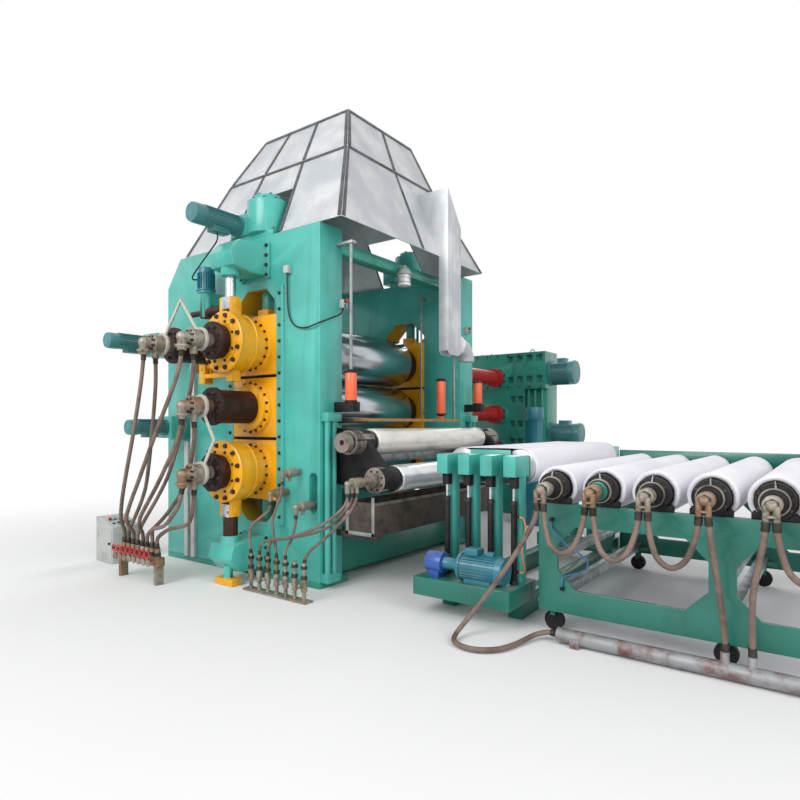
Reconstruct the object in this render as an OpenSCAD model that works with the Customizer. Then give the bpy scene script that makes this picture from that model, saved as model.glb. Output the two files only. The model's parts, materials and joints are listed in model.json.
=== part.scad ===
// Four-roll rubber calender with its reducer, transfer apron and cooling rollers.
// x runs along the sheet's path, y across it towards the drive side, z up.
// The origin is on the floor, below the middle of the vertical roll stack.

/* [Rolls] */
// Diameter of each calender roll
roll_d = 610; // [560:5:640]
// Width of the roll face
roll_face = 1730; // [1500:10:1900]
// Gap between two roll faces
nip_gap = 10; // [6:1:20]
// Height of the bottom roll's axis
bottom_roll_z = 1080; // [1040:10:1140]
// Diameter of the roll's journals
neck_d = 320; // [260:5:340]
// Radial running gap round a turning journal
running_gap = 0.3; // [0.2:0.05:0.5]

/* [Side frames] */
// Thickness of each cast side frame
frame_t = 310; // [240:5:360]
// Clear width between the two side frames
frame_gap = 2240; // [2100:10:2400]
// Height of the frames' top edge above the floor
frame_h = 3415; // [3350:5:3500]
// Reach of the frame in front of the roll stack
frame_front = 880; // [820:10:940]
// Reach of the frame behind the roll stack
frame_back = 1550; // [1450:10:1650]
// Half the width of the roll window
window_half = 325; // [315:1:335]
// Thickness of the bedplate under the frames
bed_t = 60; // [40:5:90]

/* [Hood] */
// Rise of the hood's middle rail above the side frames
hood_mid_rise = 919; // [800:5:1050]
// Rise of the hood's flat top above the side frames
hood_top_rise = 1479; // [1300:5:1600]
// Thickness of the hood's panels
hood_t = 12; // [8:1:20]

/* [Guide rollers] */
// Diameter of the two guide rollers
guide_d = 250; // [220:5:270]
// Length of the guide rollers
guide_len = 2080; // [1950:10:2120]
// Axis height of the upper guide roller
guide_up_z = 1366; // [1340:2:1400]
// Axis height of the lower guide roller
guide_low_z = 1030; // [1010:5:1050]

/* [Transfer unit] */
// Height of the apron's upper face
apron_z = 1340; // [1310:5:1380]
// Diameter of the apron's two rollers
apron_roller_d = 270; // [230:5:290]
// Spacing of the four lifting posts
post_pitch = 200; // [180:5:220]

/* [Cooling rollers] */
// Diameter of the cooling rollers over their cloth
cool_d = 305; // [270:5:315]
// Length of the cooling rollers
cool_len = 2370; // [2200:10:2420]
// Spacing of the cooling rollers
cool_pitch = 345; // [335:5:360]
// Axis height of the cooling rollers
cool_z = 1070; // [1040:5:1100]
// Height of the cooling frame's top edge
cool_top_z = 955; // [930:5:970]

/* [Hidden] */
$fn = 64;
eps = 1;

// Places that follow from the driving sizes
roll_r = roll_d / 2;
roll_pitch = roll_d + nip_gap;
roll_zs = [bottom_roll_z, bottom_roll_z + roll_pitch, bottom_roll_z + 2 * roll_pitch];
top_z = roll_zs[2];
side_roll_x = -roll_pitch;
neck_r = neck_d / 2;
frame_in = frame_gap / 2;
frame_mid = frame_in + frame_t / 2;
frame_out = frame_in + frame_t;
hood_mid_z = frame_h + hood_mid_rise;
hood_top_z = frame_h + hood_top_rise;

green = [0.24, 0.66, 0.57];
yellow = [0.91, 0.66, 0.0];
steel = [0.75, 0.76, 0.78];
brown = [0.2, 0.12, 0.11];
beige = [0.72, 0.64, 0.5];
grey = [0.62, 0.64, 0.65];
blue = [0.2, 0.5, 0.65];
white = [0.95, 0.95, 0.98];
orange = [1.0, 0.42, 0.2];

module box(x, y, z) {
    translate([x[0], y[0], z[0]]) cube([x[1] - x[0], y[1] - y[0], z[1] - z[0]]);
}
module ycyl(r, y, x, z) {
    translate([x, y[0], z]) rotate([-90, 0, 0]) cylinder(r = r, h = y[1] - y[0]);
}
module xcyl(r, x, y, z) {
    translate([x[0], y, z]) rotate([0, 90, 0]) cylinder(r = r, h = x[1] - x[0]);
}
module zcyl(r, z, x, y) {
    translate([x, y, z[0]]) cylinder(r = r, h = z[1] - z[0]);
}
// Extrudes an outline drawn in the x-z plane along y
module along_y(y) {
    translate([0, y[1], 0]) rotate([90, 0, 0]) linear_extrude(y[1] - y[0]) children();
}
// Extrudes an outline drawn in the y-z plane along x
module along_x(x) {
    translate([x[0], 0, 0]) rotate([90, 0, 90]) linear_extrude(x[1] - x[0]) children();
}
// The same piece on the operator side (-y) and on the drive side (+y)
module both_sides() {
    children();
    mirror([0, 1, 0]) children();
}

// ---------- bedplate and side frames ----------
bed_in = frame_in - 90;
bolt_r = 21;
bolt_x = [-frame_back + 150, frame_front - 130];
bolt_y = frame_in - 45;
tie_x = [[-frame_back + 260, -frame_back + 440], [-90, 90], [frame_front - 420, frame_front - 240]];

module bedplate() {
    color(green * 0.7) difference() {
        union() {
            both_sides() box([-frame_back, frame_front], [-frame_out, -bed_in], [0, bed_t]);
            for (x = tie_x) box(x, [-bed_in - eps, bed_in + eps], [0, bed_t]);
        }
        for (x = bolt_x, y = [-bolt_y, bolt_y]) zcyl(bolt_r, [-eps, bed_t + eps], x, y);
    }
}

window_low = 550;
window_high = frame_h - 530;
window_cham = 180;
side_win = [side_roll_x - 375, top_z - 270, top_z + 270];
back_top = frame_h - 315;
back_cham = 245;
gib_w = 95;
gib_t = 32;

module window_outline() {
    w = window_half;
    c = window_cham;
    polygon([[-w + c, window_low], [w - c, window_low], [w, window_low + c],
        [w, window_high - c], [w - c, window_high], [-w + c, window_high],
        [-w, window_high - c], [-w, side_win[2]], [side_win[0] + 60, side_win[2]],
        [side_win[0], side_win[2] - 60], [side_win[0], side_win[1] + 60],
        [side_win[0] + 60, side_win[1]], [-w, side_win[1]], [-w, window_low + c]]);
}
module frame_outline() {
    polygon([[-frame_back, bed_t], [frame_front, bed_t], [frame_front, frame_h],
        [-frame_back + back_cham, frame_h], [-frame_back, back_top]]);
}
slot_x = frame_front - 85;
slot_z = [755, 1025];
slot_r = 52;
slot_deep = 120;
// A side frame stands on the operator side; its slot faces outwards
module side_frame() {
    difference() {
        along_y([-frame_out, -frame_in]) difference() {
            frame_outline();
            window_outline();
        }
        for (z = slot_z) ycyl(slot_r, [-frame_out - eps, -frame_out + slot_deep], slot_x, z);
        box([slot_x - slot_r, slot_x + slot_r], [-frame_out - eps, -frame_out + slot_deep], slot_z);
    }
    for (x = [-window_half - gib_w, window_half])
        box([x, x + gib_w], [-frame_out - gib_t, -frame_out + eps],
            [window_low, x < 0 ? side_win[1] - 40 : window_high]);
    box([-window_half - gib_w, -window_half], [-frame_out - gib_t, -frame_out + eps],
        [side_win[2] + 40, window_high]);
}
module operator_side_frame() { color(green) side_frame(); }
module drive_side_frame() { color(green) mirror([0, 1, 0]) side_frame(); }

front_tie_z = [frame_h - 225, frame_h - 115];
back_tie_z = [frame_h - 915, frame_h - 615];
module frame_ties() {
    color(green * 0.9) {
        box([frame_front - 160, frame_front - 20], [-frame_in, frame_in], front_tie_z);
        box([-frame_back + 60, -frame_back + 260], [-frame_in, frame_in], back_tie_z);
        box([-frame_back + 60, -frame_back + 320], [-frame_in, frame_in], [300, 700]);
        box([window_half + 60, frame_front - 120], [-frame_in, frame_in], [bed_t, 380]);
    }
}

// ---------- calender rolls with their drive shafts ----------
neck_end = frame_out + 550;
flange_r = neck_r + 20;
flange_t = 40;
shaft_r = 115;
reducer_y = [3946, 4461];
shoulder_r = 225;
shoulder_y = frame_in - 30;

module roll(x, z) {
    ycyl(roll_r, [-roll_face / 2, roll_face / 2], x, z);
    ycyl(shoulder_r, [-shoulder_y, shoulder_y], x, z);
    ycyl(neck_r, [-neck_end, neck_end], x, z);
    ycyl(flange_r, [-neck_end, -neck_end + flange_t], x, z);
    ycyl(flange_r + 25, [neck_end - eps, neck_end + 130], x, z);
    ycyl(shaft_r, [neck_end, reducer_y[0] + 60], x, z);
    ycyl(shaft_r + 40, [reducer_y[0] - 260, reducer_y[0] - 140], x, z);
}
module bottom_roll() { color(steel) roll(0, roll_zs[0]); }
module middle_roll() { color(steel) roll(0, roll_zs[1]); }
module top_roll() { color(steel) roll(0, roll_zs[2]); }
module side_roll() { color(steel) roll(side_roll_x, top_z); }

// ---------- roll housings ----------
seat_gap = 0.3;
housing_half = window_half - seat_gap;
housing_h = roll_pitch / 2 - 15;
side_housing_half = 280;
side_housing_h = side_win[2] - top_z - seat_gap;
bearing_r = 262;
housing_face = frame_out + gib_t + 14;

// One housing fills the window between its liners and carries the journal
module housing(x, z, drum, half = housing_half, h = housing_h) {
    difference() {
        union() {
            box([x - half, x + half], [-frame_out - 30, -frame_in + 20], [z - h, z + h]);
            ycyl(bearing_r, [-housing_face - 30, -frame_out - 29], x, z);
            ycyl(bearing_r - 30, [-housing_face - drum, -housing_face - 29], x, z);
        }
        ycyl(neck_r + running_gap, [-housing_face - drum - eps, -frame_in + 20 + eps], x, z);
    }
}
ring_y = [frame_out + 215, frame_out + 430];
ring_gap = 2;
drum_long = ring_y[0] - housing_face - ring_gap;
cap_half = 75;
cap_h = 90;
module housings() {
    difference() {
        box([-cap_half, cap_half], [-frame_mid - cap_half, -frame_mid + cap_half],
            [top_z + housing_h - eps, top_z + housing_h + cap_h]);
        zcyl(screw_rod_r - 20, [top_z + housing_h + cap_h - 6, top_z + housing_h + cap_h + eps], 0, -frame_mid);
    }
    for (z = [roll_zs[0], roll_zs[2]]) housing(0, z, drum_long);
    housing(0, roll_zs[1], 70);
    housing(side_roll_x, top_z, 70, side_housing_half, side_housing_h);
}
module operator_housings() { color(yellow) housings(); }
module drive_housings() { color(yellow) mirror([0, 1, 0]) housings(); }

// ---------- roll bending rings and their brackets ----------
ring_r = 286;
ring_mid = (ring_y[0] + ring_y[1]) / 2;
lug_x = [56, 92];
lug_half = 58;
pin_r = 34;
lug_top = ring_r + 150;
pin_up = ring_r + 95;

// A ring above the given axis height; up is 1 for a lug on top and -1 for one below
module bending_ring(z, up) {
    difference() {
        union() {
            ycyl(ring_r, [-ring_y[1], -ring_y[0]], 0, z);
            ycyl(ring_r - 60, [-ring_y[1] - 14, -ring_y[1] + eps], 0, z);
            for (s = [-1, 1])
                box([min(s * lug_x[0], s * lug_x[1]), max(s * lug_x[0], s * lug_x[1])],
                    [-ring_mid - lug_half, -ring_mid + lug_half],
                    [z + min(up * (ring_r - 30), up * lug_top), z + max(up * (ring_r - 30), up * lug_top)]);
        }
        ycyl(neck_r + running_gap, [-ring_y[1] - 14 - eps, -ring_y[0] + eps], 0, z);
    }
    xcyl(pin_r, [-lug_x[1] - 8, lug_x[1] + 8], -ring_mid, z + up * pin_up);
}
// An arm under the top ring with a yoke at its end
arm_x = [-420, 90];
arm_t = 46;
module ring_arm() {
    z = top_z - ring_r;
    box(arm_x, [-ring_mid - 50, -ring_mid + 50], [z - arm_t, z - 4]);
    box([arm_x[1] - 90, arm_x[1]], [-ring_mid - 50, -ring_mid + 50], [z - 90, z + 24]);
    for (y = [-50, 20])
        box([arm_x[0] - 10, arm_x[0] + 80], [-ring_mid + y, -ring_mid + y + 30], [z - 100, z + 86]);
    ycyl(14, [-ring_mid - 62, -ring_mid + 62], arm_x[0] + 35, z + 50);
}
module bending_rings() {
    color(yellow) both_sides() {
        bending_ring(roll_zs[0], -1);
        bending_ring(top_z, 1);
        ring_arm();
    }
}

bracket_x = 170;
bracket_reach = 453;
nose_y = frame_out + bracket_reach;
bracket_z = [top_z + 691, top_z + 988];
low_bracket_z = [bed_t + 55, 412];
sleeve_r = 90;
sleeve_drop = 46;
// One bracket against the frame; its lower face is at z and up is 1, or its upper face and up is -1
module bending_bracket(z, up, high) {
    outline = [[0, 0], [bracket_reach - 252, -8], [bracket_reach - 34, 32], [bracket_reach, 162],
        [bracket_reach - 111, high - 10], [0, high]];
    along_x([-bracket_x, bracket_x]) polygon([for (p = outline) [-frame_out - p[0], z + up * p[1]]]);
    for (x = [-bracket_x - 45, bracket_x]) {
        plate_z = [z - up * 26, z + up * (high + 26)];
        box([x, x + 45], [-frame_out - 35, -frame_out], [min(plate_z), max(plate_z)]);
    }
    sleeve_z = [z - up * sleeve_drop, z + up * 60];
    zcyl(sleeve_r, [min(sleeve_z), max(sleeve_z)], 0, -ring_mid);
}
// The lower bracket is propped by a post on a foot block
foot_h = 62;
module bracket_foot() {
    box([-100, 160], [-nose_y + 20, -nose_y + 140], [0, foot_h]);
    zcyl(44, [foot_h - eps, low_bracket_z[0] + 60], 30, -nose_y + 80);
}
// The spindle's flat eye sits between the lugs, round their pin
spindle_r = 50;
low_spindle_r = 70;
eye_half = 60;
pin_gap = 1;
module eye(z) {
    difference() {
        box([-lug_x[0] + seat_gap, lug_x[0] - seat_gap], [-ring_mid - eye_half, -ring_mid + eye_half],
            [z - eye_half, z + eye_half]);
        xcyl(pin_r + pin_gap, [-lug_x[0], lug_x[0]], -ring_mid, z);
    }
}
module bending_spindles() {
    color(steel) both_sides() {
        pin_z = top_z + pin_up;
        eye(pin_z);
        zcyl(spindle_r, [pin_z + eye_half - eps, bracket_z[0] - sleeve_drop - seat_gap], 0, -ring_mid);
        low_pin = roll_zs[0] - pin_up;
        low_lug = roll_zs[0] - lug_top;
        eye(low_pin);
        zcyl(spindle_r, [low_lug - 5, low_pin - eye_half + eps], 0, -ring_mid);
        zcyl(low_spindle_r, [low_bracket_z[1] + sleeve_drop + seat_gap, low_lug - 4], 0, -ring_mid);
    }
}
module bending_brackets() {
    color(green) both_sides() {
        bending_bracket(bracket_z[0], 1, bracket_z[1] - bracket_z[0]);
        bending_bracket(low_bracket_z[1], -1, low_bracket_z[1] - low_bracket_z[0]);
        bracket_foot();
    }
}

// ---------- screw units on top, jacks below, worm motors ----------
screw_r = 215;
screw_top = frame_h + 449;
worm_x = -274;
worm_z = frame_h + 169;
worm_half = 110;
screw_rod_r = 60;
guard_rod_r = 18;
module screw_units() {
    color(green) both_sides() {
        box([-240, 240], [-frame_out, -frame_in], [frame_h, frame_h + 55]);
        zcyl(screw_r, [frame_h + 54, screw_top - 60], 0, -frame_mid);
        zcyl(150, [screw_top - 61, screw_top], 0, -frame_mid);
        box([worm_x - worm_half, 0], [-frame_out - 20, -frame_mid + 120],
            [worm_z - worm_half, worm_z + worm_half]);
        zcyl(screw_rod_r, [top_z + housing_h + cap_h + seat_gap, window_high], 0, -frame_mid);
        zcyl(guard_rod_r, [top_z + housing_h + seat_gap, window_high], cap_half + 40, -frame_mid);
        zcyl(screw_rod_r, [window_low, roll_zs[0] - housing_h - seat_gap], 0, -frame_mid);
    }
}

adj_x = [-1226, -1248];
adj_z = [top_z + 66, 1500];
adj_box_y = [frame_out + 426, frame_out + 235];
module side_adjusters() {
    color(green) both_sides() {
        for (i = [0, 1]) {
            box([adj_x[i] - 130, adj_x[i] + 130], [-adj_box_y[i], -frame_out],
                [adj_z[i] - 120, adj_z[i] + 120]);
            ycyl(150, [-frame_out - 120, -frame_out], adj_x[i], adj_z[i]);
        }
        xcyl(80, [side_win[0], side_roll_x - side_housing_half - seat_gap], -frame_mid, top_z);
    }
    color(green) cross_drive();
}
// A worm box on an arm of the operator's frame turns a cross shaft
drive_at = [-580, -1610];
drive_z = [top_z + 320, top_z + 460, top_z + 580];
drive_shaft_r = [30, 44];
module cross_drive() {
    box([drive_at[0] - 60, drive_at[0] + 60], [drive_at[1], -frame_out], [drive_z[1], drive_z[2]]);
    zcyl(62, [drive_z[0], drive_z[2]], drive_at[0], drive_at[1]);
    zcyl(84, [drive_z[2] - eps, drive_z[2] + 18], drive_at[0], drive_at[1]);
    xcyl(drive_shaft_r[0], [drive_at[0] - 240, drive_at[0] + 40], drive_at[1], drive_z[0] + 60);
    xcyl(drive_shaft_r[1], [drive_at[0] + 30, drive_at[0] + 280], drive_at[1], drive_z[0] + 60);
    box([drive_at[0] + 95, drive_at[0] + 145], [drive_at[1], -frame_out], [drive_z[0] + 30, drive_z[0] + 90]);
}

// A flanged motor along y: y[0] is its outer end, y[1] its flange
module motor_y(r, y, x, z) {
    long = y[1] - y[0];
    ycyl(r, [y[0] + long * 0.22, y[1] - 24], x, z);
    ycyl(r * 0.93, [y[0], y[0] + long * 0.22 + eps], x, z);
    ycyl(r * 1.15, [y[1] - 25, y[1]], x, z);
    box([x - r * 0.6, x + r * 0.6], [y[0] + long * 0.4, y[0] + long * 0.75], [z - r * 1.4, z]);
}
top_motor_end = 2001;
adj_motor_end = [2326, 2091];
module adjusting_motors() {
    color([0.25, 0.45, 0.45]) both_sides() {
        motor_y(95, [-top_motor_end, -frame_out - 20], worm_x, worm_z);
        for (i = [0, 1]) motor_y(78, [-adj_motor_end[i], -adj_box_y[i]], adj_x[i], adj_z[i]);
    }
    color(blue) {
        zcyl(98, [drive_z[2] + 18, drive_z[2] + 34], drive_at[0], drive_at[1]);
        zcyl(80, [drive_z[2] + 33, drive_z[2] + 210], drive_at[0], drive_at[1]);
        zcyl(74, [drive_z[2] + 209, drive_z[2] + 262], drive_at[0], drive_at[1]);
        box([drive_at[0] - 110, drive_at[0]], [drive_at[1] - 34, drive_at[1] + 34],
            [drive_z[2] + 90, drive_z[2] + 170]);
    }
}

// ---------- rotary unions ----------
union_y = [neck_end + seat_gap, 2285];
union_r = 85;
// Union along -y from the face at y: a body with ports below it and an elbow pointing down
module rotary_union(x, y, z, long, r, drop, ends = [0], sides = []) {
    ycyl(r * 0.72, [-y - long * 0.3, -y], x, z);
    ycyl(r, [-y - long * 0.75, -y - long * 0.28], x, z);
    ycyl(r * 0.6, [-y - long, -y - long * 0.74], x, z);
    translate([x, -y - long, z]) sphere(r = r * 0.6);
    for (p = ends) zcyl(p == 0 ? r * 0.5 : hose_r, [z - drop, z], x + p, -y - long);
    for (p = sides) zcyl(p == 0 ? r * 0.4 : thin_r + 3, [z - r - drop * 0.5, z], x + p, -y - long * side_share);
}
union_long = union_y[1] - union_y[0];
side_share = 0.6;
guide_union = [240, 46, 80];
guide_port = 24;
// Small unions on the operator's frame, fed through it
frame_union = [220, 42, 70];
frame_unions = [[frame_front - 425, 880], [frame_front - 260, 1078], [slot_x, 780]];
module rotary_unions() {
    color(beige) {
        for (z = roll_zs) rotary_union(0, union_y[0], z, union_long, union_r, 120, [0], [0]);
        rotary_union(side_roll_x, union_y[0], top_z, union_long, union_r, 120, [0], [0]);
        rotary_union(low_roller_x, guide_hub_y + seat_gap, guide_low_z, guide_union[0], guide_union[1],
            guide_union[2], [0], [-guide_port, guide_port]);
        for (p = frame_unions) rotary_union(p[0], frame_out, p[1], frame_union[0], frame_union[1],
            frame_union[2], [0], [0]);
        ycyl(frame_union[1] * 0.72, [-frame_out - eps, -frame_out + slot_deep], frame_unions[2][0],
            frame_unions[2][1]);
        for (i = [0 : cool_count - 1])
            rotary_union(cool_x0 + i * cool_pitch, cool_hub_y + seat_gap, cool_z, 170, 52, cool_drop,
                [-port, port]);
    }
}

// Anti-rotation stays clamp round two unions and meet in a joint
stay_y = -union_y[0] - union_long * 0.36;
stay_w = 13;
stay_reach = 90;
module clamp_ring(x, z) {
    difference() {
        ycyl(union_r + 24, [stay_y - 14, stay_y + 14], x, z);
        ycyl(union_r + seat_gap, [stay_y - 14 - eps, stay_y + 14 + eps], x, z);
    }
}
module bar(p, q, w) {
    hull() {
        translate([p[0], stay_y, p[1]]) rotate([90, 0, 0]) cylinder(r = w, h = 16, center = true, $fn = 16);
        translate([q[0], stay_y, q[1]]) rotate([90, 0, 0]) cylinder(r = w, h = 16, center = true, $fn = 16);
    }
}
module union_stays() {
    color([0.85, 0.85, 0.85]) {
        clamp_ring(side_roll_x, top_z);
        clamp_ring(0, top_z);
        peak = [side_roll_x * 0.5, top_z + 400];
        bar(peak, [side_roll_x + 55, top_z + stay_reach], stay_w);
        bar(peak, [-55, top_z + stay_reach], stay_w);
        clamp_ring(0, roll_zs[1]);
        clamp_ring(0, roll_zs[0]);
        elbow = [200, (roll_zs[0] + roll_zs[1]) / 2];
        bar(elbow, [60, roll_zs[1] - stay_reach], stay_w);
        bar(elbow, [60, roll_zs[0] + stay_reach], stay_w);
    }
}

// ---------- hood ----------
hood_rim = [-1203, 1149, -frame_out, 1200];
hood_mid = [-1024, 790, -937, 620];
hood_top = [-755, 533, -635, 519];
notch_u = [0.33, 0.66];
notch_v = 0.6;

function lerp(a, b, t) = a + (b - a) * t;
// Corner points of a side of the hood: side 0 is -y, 1 is +x, 2 is +y and 3 is -x
function level(r, z, in) = [[r[0] + in, r[2] + in, z], [r[1] - in, r[2] + in, z],
    [r[1] - in, r[3] - in, z], [r[0] + in, r[3] - in, z]];
function side_quad(lo, zlo, hi, zhi, side, in) =
    let (a = level(lo, zlo, in), b = level(hi, zhi, in), n = (side + 1) % 4)
    [a[side], a[n], b[n], b[side]];
function spot(q, u, v) = lerp(lerp(q[0], q[1], u), lerp(q[3], q[2], u), v);
function patch(q, u, v) = [spot(q, u[0], v[0]), spot(q, u[1], v[0]), spot(q, u[1], v[1]), spot(q, u[0], v[1])];
// A plate between an outer and an inner quad, both seen from outside
module plate(outer, inner) {
    polyhedron(concat(outer, inner), [[3, 2, 1, 0], [4, 5, 6, 7], [0, 1, 5, 4], [1, 2, 6, 5],
        [2, 3, 7, 6], [3, 0, 4, 7]]);
}
module hood_side(lo, zlo, hi, zhi, side, u = [0, 1], v = [0, 1]) {
    plate(patch(side_quad(lo, zlo, hi, zhi, side, 0), u, v),
        patch(side_quad(lo, zlo, hi, zhi, side, hood_t), u, v));
}
module hood_panels() {
    color(grey) {
        for (side = [0 : 3]) hood_side(hood_mid, hood_mid_z, hood_top, hood_top_z, side);
        for (side = [1, 3]) hood_side(hood_rim, frame_h, hood_mid, hood_mid_z, side);
        for (side = [0, 2]) {
            u = side == 0 ? notch_u : [1 - notch_u[1], 1 - notch_u[0]];
            hood_side(hood_rim, frame_h, hood_mid, hood_mid_z, side, [0, u[0]]);
            hood_side(hood_rim, frame_h, hood_mid, hood_mid_z, side, [u[1], 1]);
            hood_side(hood_rim, frame_h, hood_mid, hood_mid_z, side, u, [notch_v, 1]);
        }
        box([hood_top[0], hood_top[1]], [hood_top[2], hood_top[3]], [hood_top_z, hood_top_z + hood_t]);
    }
}

rib_w = 34;
rib_t = 9;
rib_space = 5;
function normal(q) = let (n = cross(q[1] - q[0], q[3] - q[0])) n / norm(n);
// A flat rib on a panel's outer face
module rib(q, u, v) {
    p = patch(q, u, v);
    n = normal(q);
    plate([for (c = p) c + n * rib_t], [for (c = p) c + n * seat_gap]);
}
function wide(q, w) = w / norm(q[1] - q[0]);
function tall(q, w) = w / norm(q[3] - q[0]);
// Upright ribs at both edges and at the seams, with a rail between each pair
module side_ribs(q, seams) {
    w = wide(q, rib_w) * 1.2;
    g = wide(q, rib_space);
    h = tall(q, rib_w);
    t = tall(q, rib_space);
    lines = concat([w / 2 + g], seams, [1 - w / 2 - g]);
    for (u = lines) rib(q, [u - w / 2, u + w / 2], [2 * t, 1 - 2 * t]);
    for (i = [0 : len(lines) - 2])
        rib(q, [lines[i] + w / 2 + g, lines[i + 1] - w / 2 - g], [1 - h - 2 * t, 1 - 2 * t]);
}
module hood_ribs() {
    color([0.3, 0.32, 0.33]) for (side = [0 : 3]) {
        seams = side % 2 == 0 ? [notch_u[0], notch_u[1]] : [0.5];
        flip = side == 2 ? [for (s = seams) 1 - s] : seams;
        side_ribs(side_quad(hood_rim, frame_h, hood_mid, hood_mid_z, side, 0), flip);
        side_ribs(side_quad(hood_mid, hood_mid_z, hood_top, hood_top_z, side, 0), flip);
    }
}

// ---------- exhaust duct ----------
duct_x = [hood_rim[1] + seat_gap, hood_rim[1] + 120];
duct_y = [194, 477];
duct_z = [frame_h - 1108, frame_h + 740];
duct_wall = 6;
duct_round = 70;
duct_cut = 385;
// The duct's back follows the slope of the hood's delivery side
duct_back = duct_x[0] + (hood_mid[1] - hood_rim[1]) * (duct_z[1] - frame_h) / (hood_mid_z - frame_h);
// The duct's front outline, with rounded lower corners
module duct_front() {
    polygon([[duct_y[0], duct_z[0] + duct_round], [duct_y[1], duct_z[0] + duct_round],
        [duct_y[1], duct_z[1] - duct_cut], [duct_y[0], duct_z[1]]]);
    for (y = [duct_y[0] + duct_round, duct_y[1] - duct_round])
        translate([y, duct_z[0] + duct_round]) circle(duct_round);
    translate([duct_y[0] + duct_round, duct_z[0]])
        square([duct_y[1] - duct_y[0] - 2 * duct_round, duct_round]);
}
module exhaust_duct() {
    color(grey * 1.1) {
        difference() {
            intersection() {
                along_y(duct_y) polygon([[duct_x[0], duct_z[0]], [duct_x[1], duct_z[0]],
                    [duct_x[1], duct_z[1]], [duct_back, duct_z[1]], [duct_x[0], frame_h]]);
                along_x([0, duct_x[1] + eps]) duct_front();
            }
            box([duct_x[0] + duct_wall, duct_x[1] - duct_wall], [duct_y[0] + duct_wall, duct_y[1] - duct_wall],
                [duct_z[0] - eps, frame_h]);
        }
        for (t = [0.25, 0.5, 0.75]) {
            y = lerp(duct_y[0], duct_y[1], t);
            box([duct_x[1] - eps, duct_x[1] + 5], [y - 7, y + 7], [duct_z[0] + 40, duct_z[1] - duct_cut - 20]);
        }
    }
}
elbow_r = 105;
elbow_bend = 170;
module duct_elbow() {
    color([0.6, 0.6, 0.6]) translate([(duct_x[0] + duct_x[1]) / 2, duct_y[1], duct_z[0] + 130]) {
        rotate([-90, 0, 0]) cylinder(r = elbow_r - 15, h = 60);
        rotate([-90, 0, 0]) cylinder(r = elbow_r + 12, h = 14);
        translate([0, 59, 0]) rotate([0, 90, 0]) translate([elbow_bend, 0, 0])
            rotate([0, 0, 90]) rotate_extrude(angle = 90) translate([elbow_bend, 0]) circle(elbow_r - 15);
    }
}

// ---------- lamp ----------
lamp_at = [frame_front + 60, -173];
lamp_z = [front_tie_z[0] - 150, front_tie_z[0] + 100];
module work_lamp() {
    color([0.75, 0.78, 0.8]) {
        box([frame_front - 20, lamp_at[0] + 15], [lamp_at[1] - 18, lamp_at[1] + 18],
            [front_tie_z[1] - 60, front_tie_z[1] - 40]);
        zcyl(16, [lamp_z[1] - 70, front_tie_z[1] - 45], lamp_at[0], lamp_at[1]);
        translate([lamp_at[0], lamp_at[1], lamp_z[0] + 120]) cylinder(r1 = 88, r2 = 45, h = 70);
        zcyl(58, [lamp_z[0] + 20, lamp_z[0] + 121], lamp_at[0], lamp_at[1]);
        zcyl(70, [lamp_z[0], lamp_z[0] + 21], lamp_at[0], lamp_at[1]);
    }
}

// ---------- guide rollers in front of the calender ----------
up_roller_x = frame_front + 280;
low_roller_x = frame_front + 560;
guide_r = guide_d / 2;
guide_neck_r = 55;
guide_hub_y = guide_len / 2 + 400;
bracket_y = [guide_len / 2 + 120, guide_len / 2 + 180];
module guide_roller(x, z) {
    ycyl(guide_r, [-guide_len / 2, guide_len / 2], x, z);
    ycyl(guide_neck_r, [-guide_hub_y + 60, guide_hub_y - 60], x, z);
}
module upper_guide_roller() {
    color([0.85, 0.82, 0.75]) {
        difference() {
            union() {
                guide_roller(up_roller_x, guide_up_z);
                both_sides() ycyl(92, [-guide_hub_y, -guide_hub_y + 62], up_roller_x, guide_up_z);
            }
            both_sides() ycyl(26, [-guide_hub_y - eps, -guide_hub_y + 62], up_roller_x, guide_up_z);
        }
    }
}
module lower_guide_roller() {
    color(white) {
        guide_roller(low_roller_x, guide_low_z);
        both_sides() ycyl(guide_neck_r * 0.8, [-guide_hub_y, -guide_hub_y + 62], low_roller_x, guide_low_z);
    }
}
boss_y = [guide_len / 2 + 50, guide_len / 2 + 320];
module guide_bearings() {
    color(brown) both_sides() difference() {
        union() {
            along_y([-bracket_y[1], -bracket_y[0]]) polygon([[frame_front, guide_up_z + 130],
                [up_roller_x + 60, guide_up_z + 110], [up_roller_x + 120, guide_up_z],
                [low_roller_x + 90, guide_low_z + 60], [low_roller_x + 90, guide_low_z - 90],
                [low_roller_x - 120, guide_low_z - 120], [frame_front, guide_low_z - 60]]);
            ycyl(112, [-boss_y[1], -boss_y[0]], up_roller_x, guide_up_z);
            ycyl(118, [-boss_y[1] + 40, -boss_y[0]], low_roller_x, guide_low_z);
        }
        ycyl(guide_neck_r + running_gap, [-boss_y[1] - eps, -boss_y[0] + eps], up_roller_x, guide_up_z);
        ycyl(guide_neck_r + running_gap, [-boss_y[1] - eps, -boss_y[0] + eps], low_roller_x, guide_low_z);
    }
}

slide_off = 70;
slide_y = [bracket_y[1] + slide_off, bracket_y[1] + slide_off + 82];
slide_x = frame_front + 45;
slide_top = 1640;
slide_block = 81;
module roller_slides() {
    block_y = [-slide_y[1] - 43, -slide_y[0] + 50];
    color(green * 0.9) both_sides() {
        for (y = slide_y) zcyl(28, [bed_t + slide_block - eps, slide_top - slide_block + eps], slide_x, -y);
        for (z = [bed_t, slide_top - slide_block])
            box([frame_front, frame_front + 90], block_y, [z, z + slide_block]);
    }
}

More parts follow.
